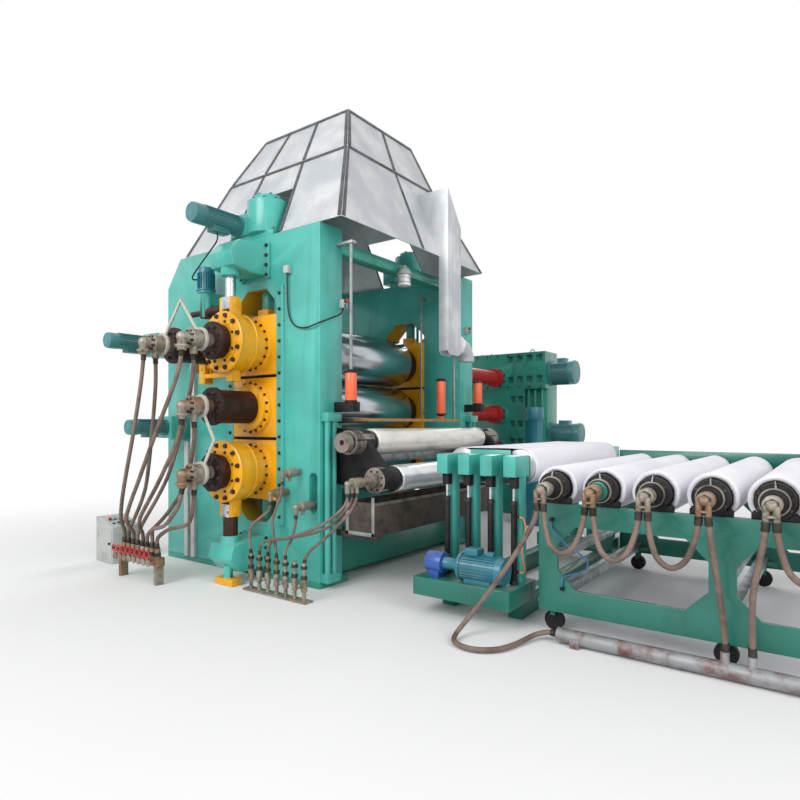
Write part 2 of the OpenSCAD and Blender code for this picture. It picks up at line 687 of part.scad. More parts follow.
cyl_at = [frame_front + 168, 1184];
cyl_z = [1742, 2027];
arm_z = [1650, 1742];
rod_top = frame_h - 178;
far_cyl_y = 1270;
far_cyl_up = 40;
cyl_r = 55;
rod_r = 15;
module lift_cylinders() {
    color(orange) {
        zcyl(cyl_r, cyl_z, cyl_at[0], -cyl_at[1]);
        zcyl(cyl_r, [cyl_z[0] + far_cyl_up, cyl_z[1] + far_cyl_up], cyl_at[0], far_cyl_y);
        zcyl(cyl_r - 6, [board_z[1] + 50, board_z[1] + 450], cyl_at[0], board_cyl_y);
        zcyl(cyl_r - 25, [board_z[1], board_z[1] + 51], cyl_at[0], board_cyl_y);
    }
}
board_z = [1560, 1590];
board_y = [-1094, 700];
board_cyl_y = 400;
// An air pipe runs down the drive side's frame on two clips
pipe_at = [window_half + 17, frame_in - 86];
pipe_z = [1650, frame_h - 190];
pipe_r = 12;
module cyl_arm(y, up) {
    box([frame_front, cyl_at[0] + 70], [y - 50, y + 50], [arm_z[0] + up, arm_z[1] + up]);
}
// The board lies on a shelf of the operator's side and hangs from a rod at its other end
module lift_rods() {
    rod_y = board_y[1] - 12;
    color([0.9, 0.9, 0.88]) {
        cyl_arm(-cyl_at[1], 0);
        cyl_arm(far_cyl_y, far_cyl_up);
        zcyl(rod_r, [cyl_z[1], rod_top], cyl_at[0], -cyl_at[1]);
        box([frame_front, cyl_at[0] + 40], [-cyl_at[1] - 30, -cyl_at[1] + 30], [rod_top, rod_top + 24]);
        zcyl(rod_r, [board_z[1], rod_top], cyl_at[0], rod_y);
        box([frame_front - 20, cyl_at[0] + 40], [rod_y - 30, rod_y + 30], [rod_top, rod_top + 24]);
        box([frame_front, cyl_at[0] + 70], [-frame_in - 60, board_y[0] + 80], [board_z[0] - 16, board_z[0]]);
        zcyl(pipe_r, pipe_z, pipe_at[0], pipe_at[1]);
        for (z = [pipe_z[0] + 40, pipe_z[1] - 60])
            box([pipe_at[0] - pipe_r, pipe_at[0] + pipe_r], [pipe_at[1], frame_in], [z, z + 20]);
    }
}
module side_board() {
    color([0.72, 0.58, 0.4]) box([cyl_at[0] - 40, cyl_at[0] + 70], board_y, board_z);
}

tray_x = [frame_front + 224, low_roller_x];
tray_y = [-frame_out + 112, 922];
tray_z = [526, 829];
tray_t = 8;
tray_arm_y = [-frame_in - 80, frame_in + 30];
module drip_tray() {
    color([0.3, 0.28, 0.27]) {
        difference() {
            box(tray_x, tray_y, tray_z);
            box([tray_x[0] + tray_t, tray_x[1] - tray_t], [tray_y[0] + tray_t, tray_y[1] - tray_t],
                [tray_z[0] + tray_t, tray_z[1] + eps]);
        }
        for (y = tray_arm_y)
            box([frame_front, tray_x[1] - 40], [y - 25, y + 25], [tray_z[0] - 50, tray_z[0]]);
        box([tray_x[0] + 60, tray_x[0] + 120], tray_arm_y, [tray_z[0] - 50, tray_z[0]]);
    }
}
module scraper_plate() {
    color([0.5, 0.52, 0.52]) box([frame_front + 120, frame_front + 132],
        [-bracket_y[0] + seat_gap, bracket_y[0] - seat_gap], [guide_up_z - 220, guide_up_z - 60]);
}

// ---------- valve manifolds, console, trunking ----------
manifold_at = [-1090, -2214];
valve_count = 8;
valve_pitch = 84;
valve_r = 28;
valve_top = 340;
block_z = [180, 260];
module manifold() {
    x = [manifold_at[0] - 60, manifold_at[0] + valve_pitch * (valve_count - 1) + 60];
    y = manifold_at[1];
    box(x, [y - 40, y + 40], block_z);
    for (e = [x[0] + 20, x[1] - 60]) box([e, e + 40], [y - 40, y + 40], [0, block_z[0] + eps]);
    for (i = [0 : valve_count - 1]) {
        at = manifold_at[0] + i * valve_pitch;
        zcyl(valve_r, [block_z[1] - eps, valve_top], at, y);
        ycyl(18, [y - 90, y - 39], at, block_z[0] + 40);
        ycyl(34, [y - 104, y - 89], at, block_z[0] + 40);
    }
}
// Standpipes in a row on a sill plate
stand_at = [360, -1800];
stand_count = 7;
stand_pitch = 115;
module standpipes() {
    long = stand_pitch * (stand_count - 1);
    y = stand_at[1];
    box([stand_at[0] - 60, stand_at[0] + long + 60], [y - 50, y + 50], [0, 16]);
    for (i = [0 : stand_count - 1]) {
        x = stand_at[0] + i * stand_pitch;
        zcyl(17, [15, valve_top], x, y);
        zcyl(27, [90, 190], x, y);
        zcyl(23, [valve_top - 60, valve_top - 20], x, y);
        if (i % 2 == 0) ycyl(14, [y - 60, y], x, 140);
    }
}
module valve_manifolds() {
    color(beige * 0.9) {
        manifold();
        standpipes();
    }
}
module control_console() {
    color([0.7, 0.72, 0.72]) along_y([-2040, -1740]) polygon([[-2000, 0], [-1650, 0], [-1650, 400],
        [-1900, 493], [-2000, 493]]);
}
module cable_trunking() {
    color([0.78, 0.76, 0.68]) {
        box([-1180, -1115], [-frame_out - 40, -frame_out], [bed_t, adj_z[1] - 160]);
        box([-1060, -995], [-frame_out - 40, -frame_out], [bed_t, frame_h - 915]);
        button_box([-frame_in - 45, -frame_in + 15], frame_h - 765);
        button_box([frame_in + 100, frame_in + 160], frame_h - 725);
        box([gland_x - 35, gland_x + 35], [-frame_out - 44, -frame_out], gland_z);
    }
}
button_h = 80;
gland_x = 470;
gland_z = [frame_h - 425, frame_h - 355];
module button_box(y, z) {
    box([frame_front, frame_front + 55], y, [z, z + button_h]);
}

// ---------- reducer ----------
reducer_x = [-1696, 835];
reducer_z = [2128, 2744];
pocket = 110;
pocket_deep = 60;
module pockets(xs, y, zs, deep) {
    for (x = xs, z = zs) box([x, x + pocket], [y - eps, y + deep], [z, z + pocket]);
}
shaft_places = [[0, roll_zs[0]], [0, roll_zs[1]], [0, top_z], [side_roll_x, top_z]];
module shaft_holes() {
    for (p = shaft_places) ycyl(shaft_r + running_gap, [reducer_y[0] - 130, reducer_y[0] + 70], p[0], p[1]);
}
module reducer_lower() {
    color(green * 0.75) difference() {
        union() {
            box(reducer_x, [reducer_y[0] + 110, reducer_y[1]], [0, reducer_z[0]]);
            for (x = [500, 620, 740])
                box([x, x + 36], [reducer_y[0] + 40, reducer_y[0] + 111], [160, reducer_z[0]]);
            box([reducer_x[0], 460], [reducer_y[0], reducer_y[0] + 111], [0, reducer_z[0]]);
            box([460, reducer_x[1]], [reducer_y[0], reducer_y[0] + 111], [0, 160]);
            for (z = [roll_zs[0], roll_zs[1]])
                ycyl(shaft_r + 60, [reducer_y[0] - 90, reducer_y[0] + eps], 0, z);
        }
        shaft_holes();
        pockets([190, 330], reducer_y[0], [560, 1180, 1480, 1900], pocket_deep);
    }
}
module reducer_upper() {
    color(green * 0.75) difference() {
        union() {
            box(reducer_x, [reducer_y[0], reducer_y[1]], reducer_z);
            for (x = [0, side_roll_x]) ycyl(shaft_r + 60, [reducer_y[0] - 90, reducer_y[0] + eps], x, top_z);
        }
        shaft_holes();
        pockets([150, 325, 500, 675], reducer_y[0], [2235, 2585], pocket_deep);
    }
}
motor_y0 = 4220;
// Each motor lies along x on the reducer's delivery side
module reducer_motor(r, long, z) {
    x = reducer_x[1];
    xcyl(r + 20, [x, x + 36], motor_y0, z);
    xcyl(r, [x + 35, x + long * 0.78], motor_y0, z);
    xcyl(r - 14, [x + long * 0.78 - eps, x + long], motor_y0, z);
    box([x + long * 0.3, x + long * 0.62], [motor_y0 - 80, motor_y0 + 80], [z, z + r + 50]);
}
module reducer_motors() {
    color([0.2, 0.35, 0.38]) {
        reducer_motor(190, 430, 2390);
        reducer_motor(165, 520, 1380);
    }
}
pump_at = [936, 3274];
module hydraulic_unit() {
    color(blue) {
        box([pump_at[0] - 240, pump_at[0] + 240], [pump_at[1] - 260, pump_at[1] + 260], [0, 980]);
        zcyl(170, [979, 1020], pump_at[0], pump_at[1]);
        zcyl(125, [1019, 1600], pump_at[0], pump_at[1]);
        zcyl(142, [1599, 1792], pump_at[0], pump_at[1]);
    }
}

// ---------- transfer unit ----------
base_x = [1966, 2818];
base_y = 1475;
base_z = [155, 302];
base_deep = 480;
sleeper_w = 120;
sleeper_y = 1120;
post_x0 = 2146;
post_y = 1140;
post_r = 52;
jack_y = 1236;
cap_y = [1087, 1318];
cap_z = [1131, 1290];
module transfer_base() {
    color(green) {
        both_sides() box(base_x, [-base_y, -base_y + base_deep], base_z);
        for (x = [base_x[0] + 60, base_x[1] - 60 - sleeper_w])
            box([x, x + sleeper_w], [-sleeper_y, sleeper_y], [0, base_z[0] + 20]);
    }
}
apron_x = [2195, 2710];
apron_r = apron_roller_d / 2;
belt_t = 9;
apron_axis_z = apron_z - belt_t - apron_r;
apron_neck_r = 35;
side_plate_y = [1068, 1088];
module lifting_posts() {
    color(green) both_sides() difference() {
        union() {
            for (i = [0 : 3]) {
                x = post_x0 + i * post_pitch;
                zcyl(post_r, [base_z[1], cap_z[0] + eps], x, -post_y);
                box([x - 50, x + 50], [-cap_y[1], -cap_y[0]], cap_z);
            }
            box([post_x0 - 50, post_x0 + 3 * post_pitch + 50], [-side_plate_y[1], -side_plate_y[0]],
                [apron_axis_z - 80, cap_z[1]]);
        }
        for (x = apron_x)
            ycyl(apron_neck_r + running_gap, [-side_plate_y[1] - eps, -side_plate_y[0] + eps], x, apron_axis_z);
    }
}
jack_r = 24;
jack_top = cap_z[0] - 201;
jack_ports = [base_z[1] + 98, jack_top - 110];
jack_port_x = post_x0 + 3 * post_pitch + 44;
module lifting_jacks() {
    color([0.12, 0.12, 0.13]) both_sides() for (i = [0 : 3]) {
        x = post_x0 + i * post_pitch;
        zcyl(jack_r, [base_z[1], jack_top], x, -jack_y);
        zcyl(13, [jack_top - eps, cap_z[0] - 91], x, -jack_y);
        box([x - 28, x + 28], [-jack_y - 30, -jack_y + 30], [cap_z[0] - 92, cap_z[0]]);
    }
    color([0.12, 0.12, 0.13]) for (z = jack_ports)
        xcyl(10, [post_x0 + 3 * post_pitch, jack_port_x], -jack_y, z);
}
motor_r = 100;
module transfer_motor() {
    color(blue) {
        z = base_z[1] + 118;
        y = -base_y + 104;
        xcyl(motor_r, [2387, 2690], y, z);
        xcyl(motor_r - 10, [2689, 2744], y, z);
        xcyl(motor_r + 12, [2363, 2388], y, z);
        xcyl(48, [2205, 2364], y, z);
        xcyl(motor_r - 15, [2061, 2206], y, z);
        box([2420, 2650], [y - 75, y + 75], [base_z[1], base_z[1] + 40]);
        box([2085, 2180], [y - 60, y + 60], [base_z[1], base_z[1] + 60]);
    }
}
apron_y = [-1050, 1050];
module belt_outline(r) {
    for (x = apron_x) translate([x, apron_axis_z]) circle(r);
    translate([apron_x[0], apron_axis_z - r]) square([apron_x[1] - apron_x[0], 2 * r]);
}
module apron_belt() {
    color(white) along_y(apron_y) difference() {
        belt_outline(apron_r + belt_t);
        belt_outline(apron_r + seat_gap);
    }
}
module apron_roller(x) {
    ycyl(apron_r, [apron_y[0] - 4, apron_y[1] + 4], x, apron_axis_z);
    ycyl(apron_neck_r, [-side_plate_y[1] + 2, side_plate_y[1] - 2], x, apron_axis_z);
}
module apron_front_roller() { color(steel) apron_roller(apron_x[1]); }
module apron_rear_roller() { color(steel) apron_roller(apron_x[0]); }

// ---------- cooling line ----------
cool_count = 7;
cool_x0 = 3075;
cool_plate_y = [cool_len / 2 + 30, cool_len / 2 + 65];
cool_x = [2952, 5416];
cool_far_x = 2830;
cool_bearing_r = 112;
cool_low = 157;
bay_x = [[3098, 4094], [4251, 5248]];
bay_z = [330, 790];
bay_cham = 134;
cool_far_z = 1254;
cool_hub_y = cool_len / 2 + 160;
cool_neck_r = 32;
module bay(x, z, c) {
    polygon([[x[0] + c, z[0]], [x[1] - c, z[0]], [x[1], z[0] + c], [x[1], z[1] - c],
        [x[1] - c, z[1]], [x[0] + c, z[1]], [x[0], z[1] - c], [x[0], z[0] + c]]);
}
module cool_plate(top, x0 = cool_x[0]) {
    difference() {
        translate([x0, cool_low]) square([cool_x[1] - x0, top - cool_low]);
        for (x = bay_x) bay(x, bay_z, bay_cham);
    }
}
module cooling_near_frame() {
    color(green) along_y([-cool_plate_y[1], -cool_plate_y[0]]) cool_plate(cool_top_z);
}
module cooling_far_frame() {
    color(green) along_y([cool_plate_y[0], cool_plate_y[1]]) difference() {
        cool_plate(cool_far_z, cool_far_x);
        for (i = [0 : cool_count - 1])
            translate([cool_x0 + i * cool_pitch, cool_z]) circle(cool_neck_r + running_gap);
    }
}
module cooling_ties() {
    color([0.75, 0.76, 0.76]) {
        for (x = [cool_x[0] + 30, (bay_x[0][1] + bay_x[1][0]) / 2 - 40, cool_x[1] - 110]) {
            box([x, x + 80], [-cool_plate_y[0], cool_plate_y[0]], [200, 280]);
            box([x, x + 80], [-cool_plate_y[0], cool_plate_y[0]], [500, 560]);
        }
        for (x = [cool_x[0] + 90, cool_x[1] - 90, (cool_x[0] + cool_x[1]) / 2], s = [-1, 1]) {
            y = s * (cool_plate_y[0] - 60);
            ycyl(72, [y - 25, y + 25], x, 72);
            box([x - 20, x + 20], [y - 45, y + 45], [110, 201]);
            box([x - 110, x + 110], [y - 60, y + 60], [200, 230]);
        }
    }
}
module cooling_roller(i) {
    x = cool_x0 + i * cool_pitch;
    ycyl(cool_d / 2, [-cool_len / 2 - 15, cool_len / 2 - 15], x, cool_z);
    ycyl(cool_neck_r, [-cool_hub_y, cool_plate_y[1] - 2], x, cool_z);
}
module cooling_roller_1() { color(white) cooling_roller(0); }
module cooling_roller_2() { color(white) cooling_roller(1); }
module cooling_roller_3() { color(white) cooling_roller(2); }
module cooling_roller_4() { color(white) cooling_roller(3); }
module cooling_roller_5() { color(white) cooling_roller(4); }
module cooling_roller_6() { color(white) cooling_roller(5); }
module cooling_roller_7() { color(white) cooling_roller(6); }
module cooling_bearings() {
    color([0.12, 0.13, 0.13]) for (i = [0 : cool_count - 1]) {
        x = cool_x0 + i * cool_pitch;
        difference() {
            union() {
                box([x - 125, x + 125], [-cool_plate_y[1] - 10, -cool_plate_y[0]],
                    [cool_top_z, cool_top_z + 40]);
                ycyl(cool_bearing_r, [-cool_plate_y[1] - 30, -cool_plate_y[0]], x, cool_z);
                ycyl(cool_bearing_r - 36, [-cool_hub_y + 25, -cool_plate_y[0]], x, cool_z);
            }
            ycyl(cool_neck_r + running_gap, [-cool_hub_y - eps, -cool_plate_y[0] + eps], x, cool_z);
        }
    }
    color([0.12, 0.13, 0.13]) for (p = air_ports)
        box([p[0] - 13, p[0] + 13], [-cool_plate_y[1] - 31, -cool_plate_y[1]], [p[1] - 13, p[1] + 13]);
}
// Push-in fittings of the air tube, on the near frame's face
air_ports = [[cool_x0 - 15, cool_top_z - 120], [cool_x0 + 65, 340]];

// ---------- hoses ----------
hose_r = 19;
thin_r = 13;
cable_r = 8;
hose_sides = 8;
// Each route runs from a union's port down to its valve
calender_routes = [
    [[-620, -2285, 2200], [-650, -2300, 1900], [-740, -2330, 1400], [-900, -2330, 900], [-1060, -2270, 600],
        [-1090, -2216, 460], [-1090, -2214, 340]],
    [[-620, -2163, 2175], [-640, -2150, 1900], [-760, -2120, 1400], [-880, -2110, 900], [-985, -2160, 600],
        [-1006, -2212, 460], [-1006, -2214, 340]],
    [[0, -2285, 2200], [-50, -2310, 1950], [-200, -2400, 1500], [-500, -2410, 1000], [-850, -2330, 620],
        [-922, -2218, 460], [-922, -2214, 340]],
    [[0, -2163, 2175], [-60, -2140, 1950], [-330, -2060, 1500], [-600, -2050, 1000], [-800, -2130, 640],
        [-838, -2212, 460], [-838, -2214, 340]],
    [[0, -2285, 1580], [-60, -2310, 1350], [-280, -2370, 950], [-650, -2310, 620], [-754, -2217, 460],
        [-754, -2214, 340]],
    [[0, -2163, 1555], [-50, -2130, 1350], [-260, -2080, 950], [-560, -2110, 620], [-670, -2210, 460],
        [-670, -2214, 340]],
    [[0, -2285, 960], [-30, -2300, 800], [-200, -2330, 610], [-480, -2270, 540], [-586, -2217, 450],
        [-586, -2214, 340]],
    [[0, -2163, 935], [-30, -2150, 780], [-150, -2120, 600], [-400, -2150, 530], [-502, -2211, 440],
        [-502, -2214, 340]],
];
// Thin hoses from the guide roller's union and from the frame's unions to the standpipes
thin_routes = [
    [[1440, -1680, 950], [1425, -1700, 850], [1250, -1770, 690], [950, -1830, 560], [670, -1830, 500],
        [500, -1804, 430], [475, -1800, 340]],
    [[1416, -1584, 944], [1400, -1610, 840], [1220, -1710, 640], [900, -1770, 540], [680, -1790, 490],
        [600, -1801, 430], [590, -1800, 340]],
    [[1464, -1584, 944], [1455, -1640, 820], [1300, -1760, 600], [1120, -1800, 450], [1050, -1800, 340]],
    [[455, -1650, 810], [445, -1665, 720], [300, -1740, 580], [330, -1790, 450], [360, -1800, 340]],
    [[620, -1650, 1008], [610, -1670, 860], [540, -1700, 640], [640, -1760, 450], [705, -1800, 340]],
    [[795, -1650, 710], [800, -1665, 620], [830, -1740, 500], [822, -1796, 430], [820, -1800, 340]],
];
// Cables: to the operator's buttons, and from the top motor to the cross drive's motor
cable_routes = [
    [[470, -1452, 2990], [470, -1452, 2880], [474, -1451, 2720], [500, -1450, 2560], [590, -1450, 2465],
        [740, -1456, 2440], [885, -1452, 2470], [930, -1340, 2520], [915, -1180, 2590], [908, -1135, 2650]],
    [[-274, -1700, 3451], [-278, -1705, 3370], [-380, -1750, 3230], [-560, -1765, 3080], [-665, -1690, 3085],
        [-668, -1620, 3150], [-668, -1610, 3070]],
];
function smooth(p, n) = [for (i = [0 : len(p) - 2], k = [0 : n - 1])
    let (a = p[max(i - 1, 0)], b = p[i], c = p[i + 1], d = p[min(i + 2, len(p) - 1)], t = k / n)
    0.5 * ((2 * b) + (c - a) * t + (2 * a - 5 * b + 4 * c - d) * t * t + (3 * b - a - 3 * c + d) * t * t * t),
    p[len(p) - 1]];
function unit(v) = v / norm(v);
// Both ends of a hose stand square in their fittings
function square_on(v) = abs(v[2]) > abs(v[0]) ? [0, 0, sign(v[2])] : [sign(v[0]), 0, 0];
function along(p, i) =
    i == 0 ? square_on(p[1] - p[0]) :
    i == len(p) - 1 ? square_on(p[i] - p[i - 1]) : unit(p[i + 1] - p[i - 1]);
function ring_at(c, d, r) =
    let (u = unit(cross(d, [0, 1, 0])), v = cross(d, u))
    [for (k = [0 : hose_sides - 1]) c + r * (u * cos(360 * k / hose_sides) + v * sin(360 * k / hose_sides))];
module tube(p, r) {
    n = len(p);
    m = hose_sides;
    points = [for (i = [0 : n - 1]) each ring_at(p[i], along(p, i), r)];
    walls = [for (i = [0 : n - 2], k = [0 : m - 1])
        [i * m + k, i * m + (k + 1) % m, (i + 1) * m + (k + 1) % m, (i + 1) * m + k]];
    first = [for (k = [m - 1 : -1 : 0]) k];
    last = [for (k = [0 : m - 1]) (n - 1) * m + k];
    polyhedron(points, concat(walls, [first], [last]));
}
module calender_hoses() {
    color([0.5, 0.44, 0.38]) {
        for (route = calender_routes) tube(smooth(route, 2), hose_r);
        for (route = thin_routes) tube(smooth(route, 2), thin_r);
    }
    color([0.1, 0.1, 0.11]) for (route = cable_routes) tube(smooth(route, 2), cable_r);
}
cool_union_end = cool_hub_y + seat_gap + 170;
cool_drop = 90;
port = 26;
// Loops join neighbouring rollers; the other ports are fed from the pipe on the floor.
// Each supply has its roller, the side of the port and the tap's place from the roller's axis.
supplied = [[3, 1, 100], [4, -1, -100], [6, 1, 100]];
header_y = -1420;
header_r = 50;
header_z = header_r + 10;
header_x = [cool_x0 + 95, tap_x(supplied[2]) + 60];
tap_top = header_z + 110;
function tap_x(s) = cool_x0 + s[0] * cool_pitch + s[2];
// The first roller's hose lies in a loop on the floor and enters the pipe's end
floor_route = [[3049, -1515, 980], [3040, -1530, 860], [2880, -1570, 560], [2660, -1650, 220],
    [2560, -1770, 50], [2620, -1900, 25], [2780, -1940, 25], [2920, -1840, 25], [2980, -1640, 25],
    [3020, -1490, 40], [3090, -1428, 58], [3170, -1420, 60]];
// Air tubes of the last jack and of the near frame
air_r = 6;
air_routes = [
    [[2790, -1236, 820], [2830, -1245, 812], [2880, -1320, 740], [2880, -1380, 610], [2870, -1320, 480],
        [2830, -1245, 408], [2790, -1236, 400]],
    [[3060, -1266, 822], [3070, -1272, 760], [3200, -1300, 660], [3340, -1310, 580], [3300, -1300, 490],
        [3160, -1272, 430], [3140, -1266, 353]],
];
module coolant_header() {
    color(green * 0.9) {
        xcyl(header_r, header_x, header_y, header_z);
        for (s = supplied) zcyl(hose_r + 6, [header_z, tap_top], tap_x(s), header_y);
        for (x = [cool_x0 + 200, cool_x0 + 5 * cool_pitch + 100])
            box([x, x + 60], [header_y - 60, header_y + 60], [0, header_z]);
    }
}
module cooling_hoses() {
    y = -cool_union_end;
    z = cool_z - cool_drop;
    color([0.5, 0.44, 0.38]) {
        tube(smooth(floor_route, 2), hose_r);
        for (s = supplied) {
            x = cool_x0 + s[0] * cool_pitch + s[1] * port;
            tube(smooth([[x, y, z], [x + s[1] * 12, y - 8, z - 120], [x + s[1] * 60, y - 30, 560],
                [tap_x(s), header_y - 12, tap_top + 110], [tap_x(s), header_y, tap_top]], 2), hose_r);
        }
        for (i = [0, 1, 2, 4, 5]) {
            x = cool_x0 + i * cool_pitch;
            tube(smooth([[x + port, y, z], [x + port + 12, y - 10, z - 110], [x + port + 60, y - 40, 720],
                [x + cool_pitch / 2, y - 50, 660], [x + cool_pitch - port - 60, y - 40, 720],
                [x + cool_pitch - port - 12, y - 10, z - 110], [x + cool_pitch - port, y, z]], 2), hose_r);
        }
    }
    color([0.9, 0.4, 0.2]) for (route = air_routes) tube(smooth(route, 2), air_r);
}

bedplate();
operator_side_frame();
drive_side_frame();
frame_ties();
bottom_roll();
middle_roll();
top_roll();
side_roll();
operator_housings();
drive_housings();
bending_rings();
bending_brackets();
bending_spindles();
screw_units();
side_adjusters();
adjusting_motors();
rotary_unions();
union_stays();
hood_panels();
hood_ribs();
exhaust_duct();
duct_elbow();
work_lamp();
upper_guide_roller();
lower_guide_roller();
guide_bearings();
roller_slides();
lift_cylinders();
lift_rods();
side_board();
drip_tray();
scraper_plate();
valve_manifolds();
control_console();
cable_trunking();
calender_hoses();
reducer_lower();
reducer_upper();
reducer_motors();
hydraulic_unit();
transfer_base();
lifting_posts();
lifting_jacks();
transfer_motor();
apron_belt();
apron_front_roller();
apron_rear_roller();
cooling_near_frame();
cooling_far_frame();
cooling_ties();
cooling_roller_1();
cooling_roller_2();
cooling_roller_3();
cooling_roller_4();
cooling_roller_5();
cooling_roller_6();
cooling_roller_7();
cooling_bearings();
coolant_header();
cooling_hoses();
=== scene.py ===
import json
import math

import bpy
from mathutils import Matrix, Vector, noise


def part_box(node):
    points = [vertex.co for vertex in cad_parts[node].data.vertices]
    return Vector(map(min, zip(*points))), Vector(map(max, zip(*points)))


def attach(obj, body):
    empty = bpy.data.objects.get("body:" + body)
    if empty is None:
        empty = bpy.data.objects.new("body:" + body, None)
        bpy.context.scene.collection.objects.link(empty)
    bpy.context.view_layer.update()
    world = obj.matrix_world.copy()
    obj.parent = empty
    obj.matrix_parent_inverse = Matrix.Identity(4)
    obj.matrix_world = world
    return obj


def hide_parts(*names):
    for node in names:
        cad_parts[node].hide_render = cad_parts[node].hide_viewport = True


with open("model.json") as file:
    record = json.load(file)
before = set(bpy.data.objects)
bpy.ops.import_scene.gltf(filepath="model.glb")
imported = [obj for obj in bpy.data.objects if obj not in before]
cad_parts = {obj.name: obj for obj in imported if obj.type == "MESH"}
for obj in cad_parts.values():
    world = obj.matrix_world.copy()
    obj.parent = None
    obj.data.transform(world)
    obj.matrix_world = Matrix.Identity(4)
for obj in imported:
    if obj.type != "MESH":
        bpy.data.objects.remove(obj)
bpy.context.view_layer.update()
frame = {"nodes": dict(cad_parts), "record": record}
plant = "plant"  # the body of all that stands still
behaviour = frame["record"]["behaviour"]
bodyOf = {node: body for body, nodes in behaviour["bodies"].items() for node in nodes}
axisOf = {joint["child"]: Vector(joint["pos_m"]) for joint in behaviour["joints"]}
rolls = ["bottom_roll", "middle_roll", "top_roll", "side_roll"]
bentRolls = ["bottom_roll", "top_roll"]
coolers = ["cooling_roller_%d" % number for number in range(1, 8)]
sides = (-1, 1)  # operator side and drive side
up, down, near, far = (0, 0, 1), (0, 0, -1), (0, -1, 0), (0, 1, 0)
moved = Matrix.Translation


def mode(name):
    bpy.ops.object.mode_set(mode=name)


def clearPick():
    if bpy.context.object and bpy.context.object.mode != "OBJECT":
        mode("OBJECT")
    bpy.ops.object.select_all(action="DESELECT")


def pick(*pieces):
    clearPick()
    for piece in pieces:
        piece.select_set(True)
    bpy.context.view_layer.objects.active = pieces[0]


# The camera and the lamps
shot = {"place": (4.7664, -5.4732, 1.5344), "turn": 36.25, "lens": 27.0, "sensor": 36.0, "shiftUp": 0.03}
bpy.ops.object.camera_add(location=shot["place"], rotation=(math.pi / 2, 0, math.radians(shot["turn"])))
camera = bpy.context.object
camera.data.lens = shot["lens"]
camera.data.sensor_width = shot["sensor"]
camera.data.shift_y = shot["shiftUp"]
camera.data.clip_end = 200
bpy.context.scene.camera = camera
bpy.context.scene.view_settings.view_transform = "Standard"

lamps = [  # name, place, aimed at, size, watts
    ("keyLamp", (0.5, -12.0, 8.0), (0.8, 0, 1.6), 7.0, 1000),
    ("fillLamp", (11.0, -4.0, 6.0), (1.5, 0, 1.5), 6.0, 420),
    ("backLamp", (-4.0, 11.0, 8.0), (0.5, 1.0, 2.0), 6.0, 520),
]
for name, place, aim, size, watts in lamps:
    bpy.ops.object.light_add(type="AREA", location=place)
    lamp = bpy.context.object
    lamp.name = name
    lamp.data.size = size
    lamp.data.energy = watts
    lamp.rotation_euler = (Vector(aim) - Vector(place)).to_track_quat("-Z", "Y").to_euler()


class Wire:  # one socket of a shader, with arithmetic
    def __init__(self, paint, socket):
        self.paint = paint
        self.socket = socket

    def __add__(self, other):
        return self.paint.sums("ADD", self, other)

    def __sub__(self, other):
        return self.paint.sums("SUBTRACT", self, other)

    def __rsub__(self, other):
        return self.paint.sums("SUBTRACT", other, self)

    def __mul__(self, other):
        return self.paint.sums("MULTIPLY", self, other)

    __radd__, __rmul__ = __add__, __mul__

    def size(self):
        return self.paint.sums("ABSOLUTE", self)

    def above(self, edge, soft):  # 0 below the edge and 1 above it
        return self.between(edge - soft, edge + soft)

    def between(self, low, high):  # rises from 0 at low to 1 at high
        return self.paint.read("Result", "MapRange", {"Value": self, "From Min": low, "From Max": high},
                               interpolation_type="SMOOTHSTEP")


def tint(code, strength=1.0):  # an sRGB colour code as linear colour
    parts = [int(code[i : i + 2], 16) / 255 for i in (1, 3, 5)]
    linear = [(c / 12.92 if c <= 0.04045 else ((c + 0.055) / 1.055) ** 2.4) for c in parts]
    return (*[c * strength for c in linear], 1.0)


class Graph:  # the shader nodes of a material or of the sky
    def __init__(self, owner):
        owner.use_nodes = True
        self.tree = owner.node_tree

    def node(self, kind, inputs=None, **settings):
        made = self.tree.nodes.new("ShaderNode" + kind)
        for key, value in settings.items():
            setattr(made, key, value)
        for key, value in (inputs or {}).items():
            self.plug(made.inputs[key], value)
        return made

    def read(self, output, kind, inputs=None, **settings):  # one output of a new node
        return Wire(self, self.node(kind, inputs, **settings).outputs[output])

    def plug(self, socket, value):
        if isinstance(value, Wire):
            self.tree.links.new(value.socket, socket)
        else:
            socket.default_value = value

    def sums(self, operation, *values):
        return self.read("Value", "Math", dict(enumerate(values)), operation=operation)


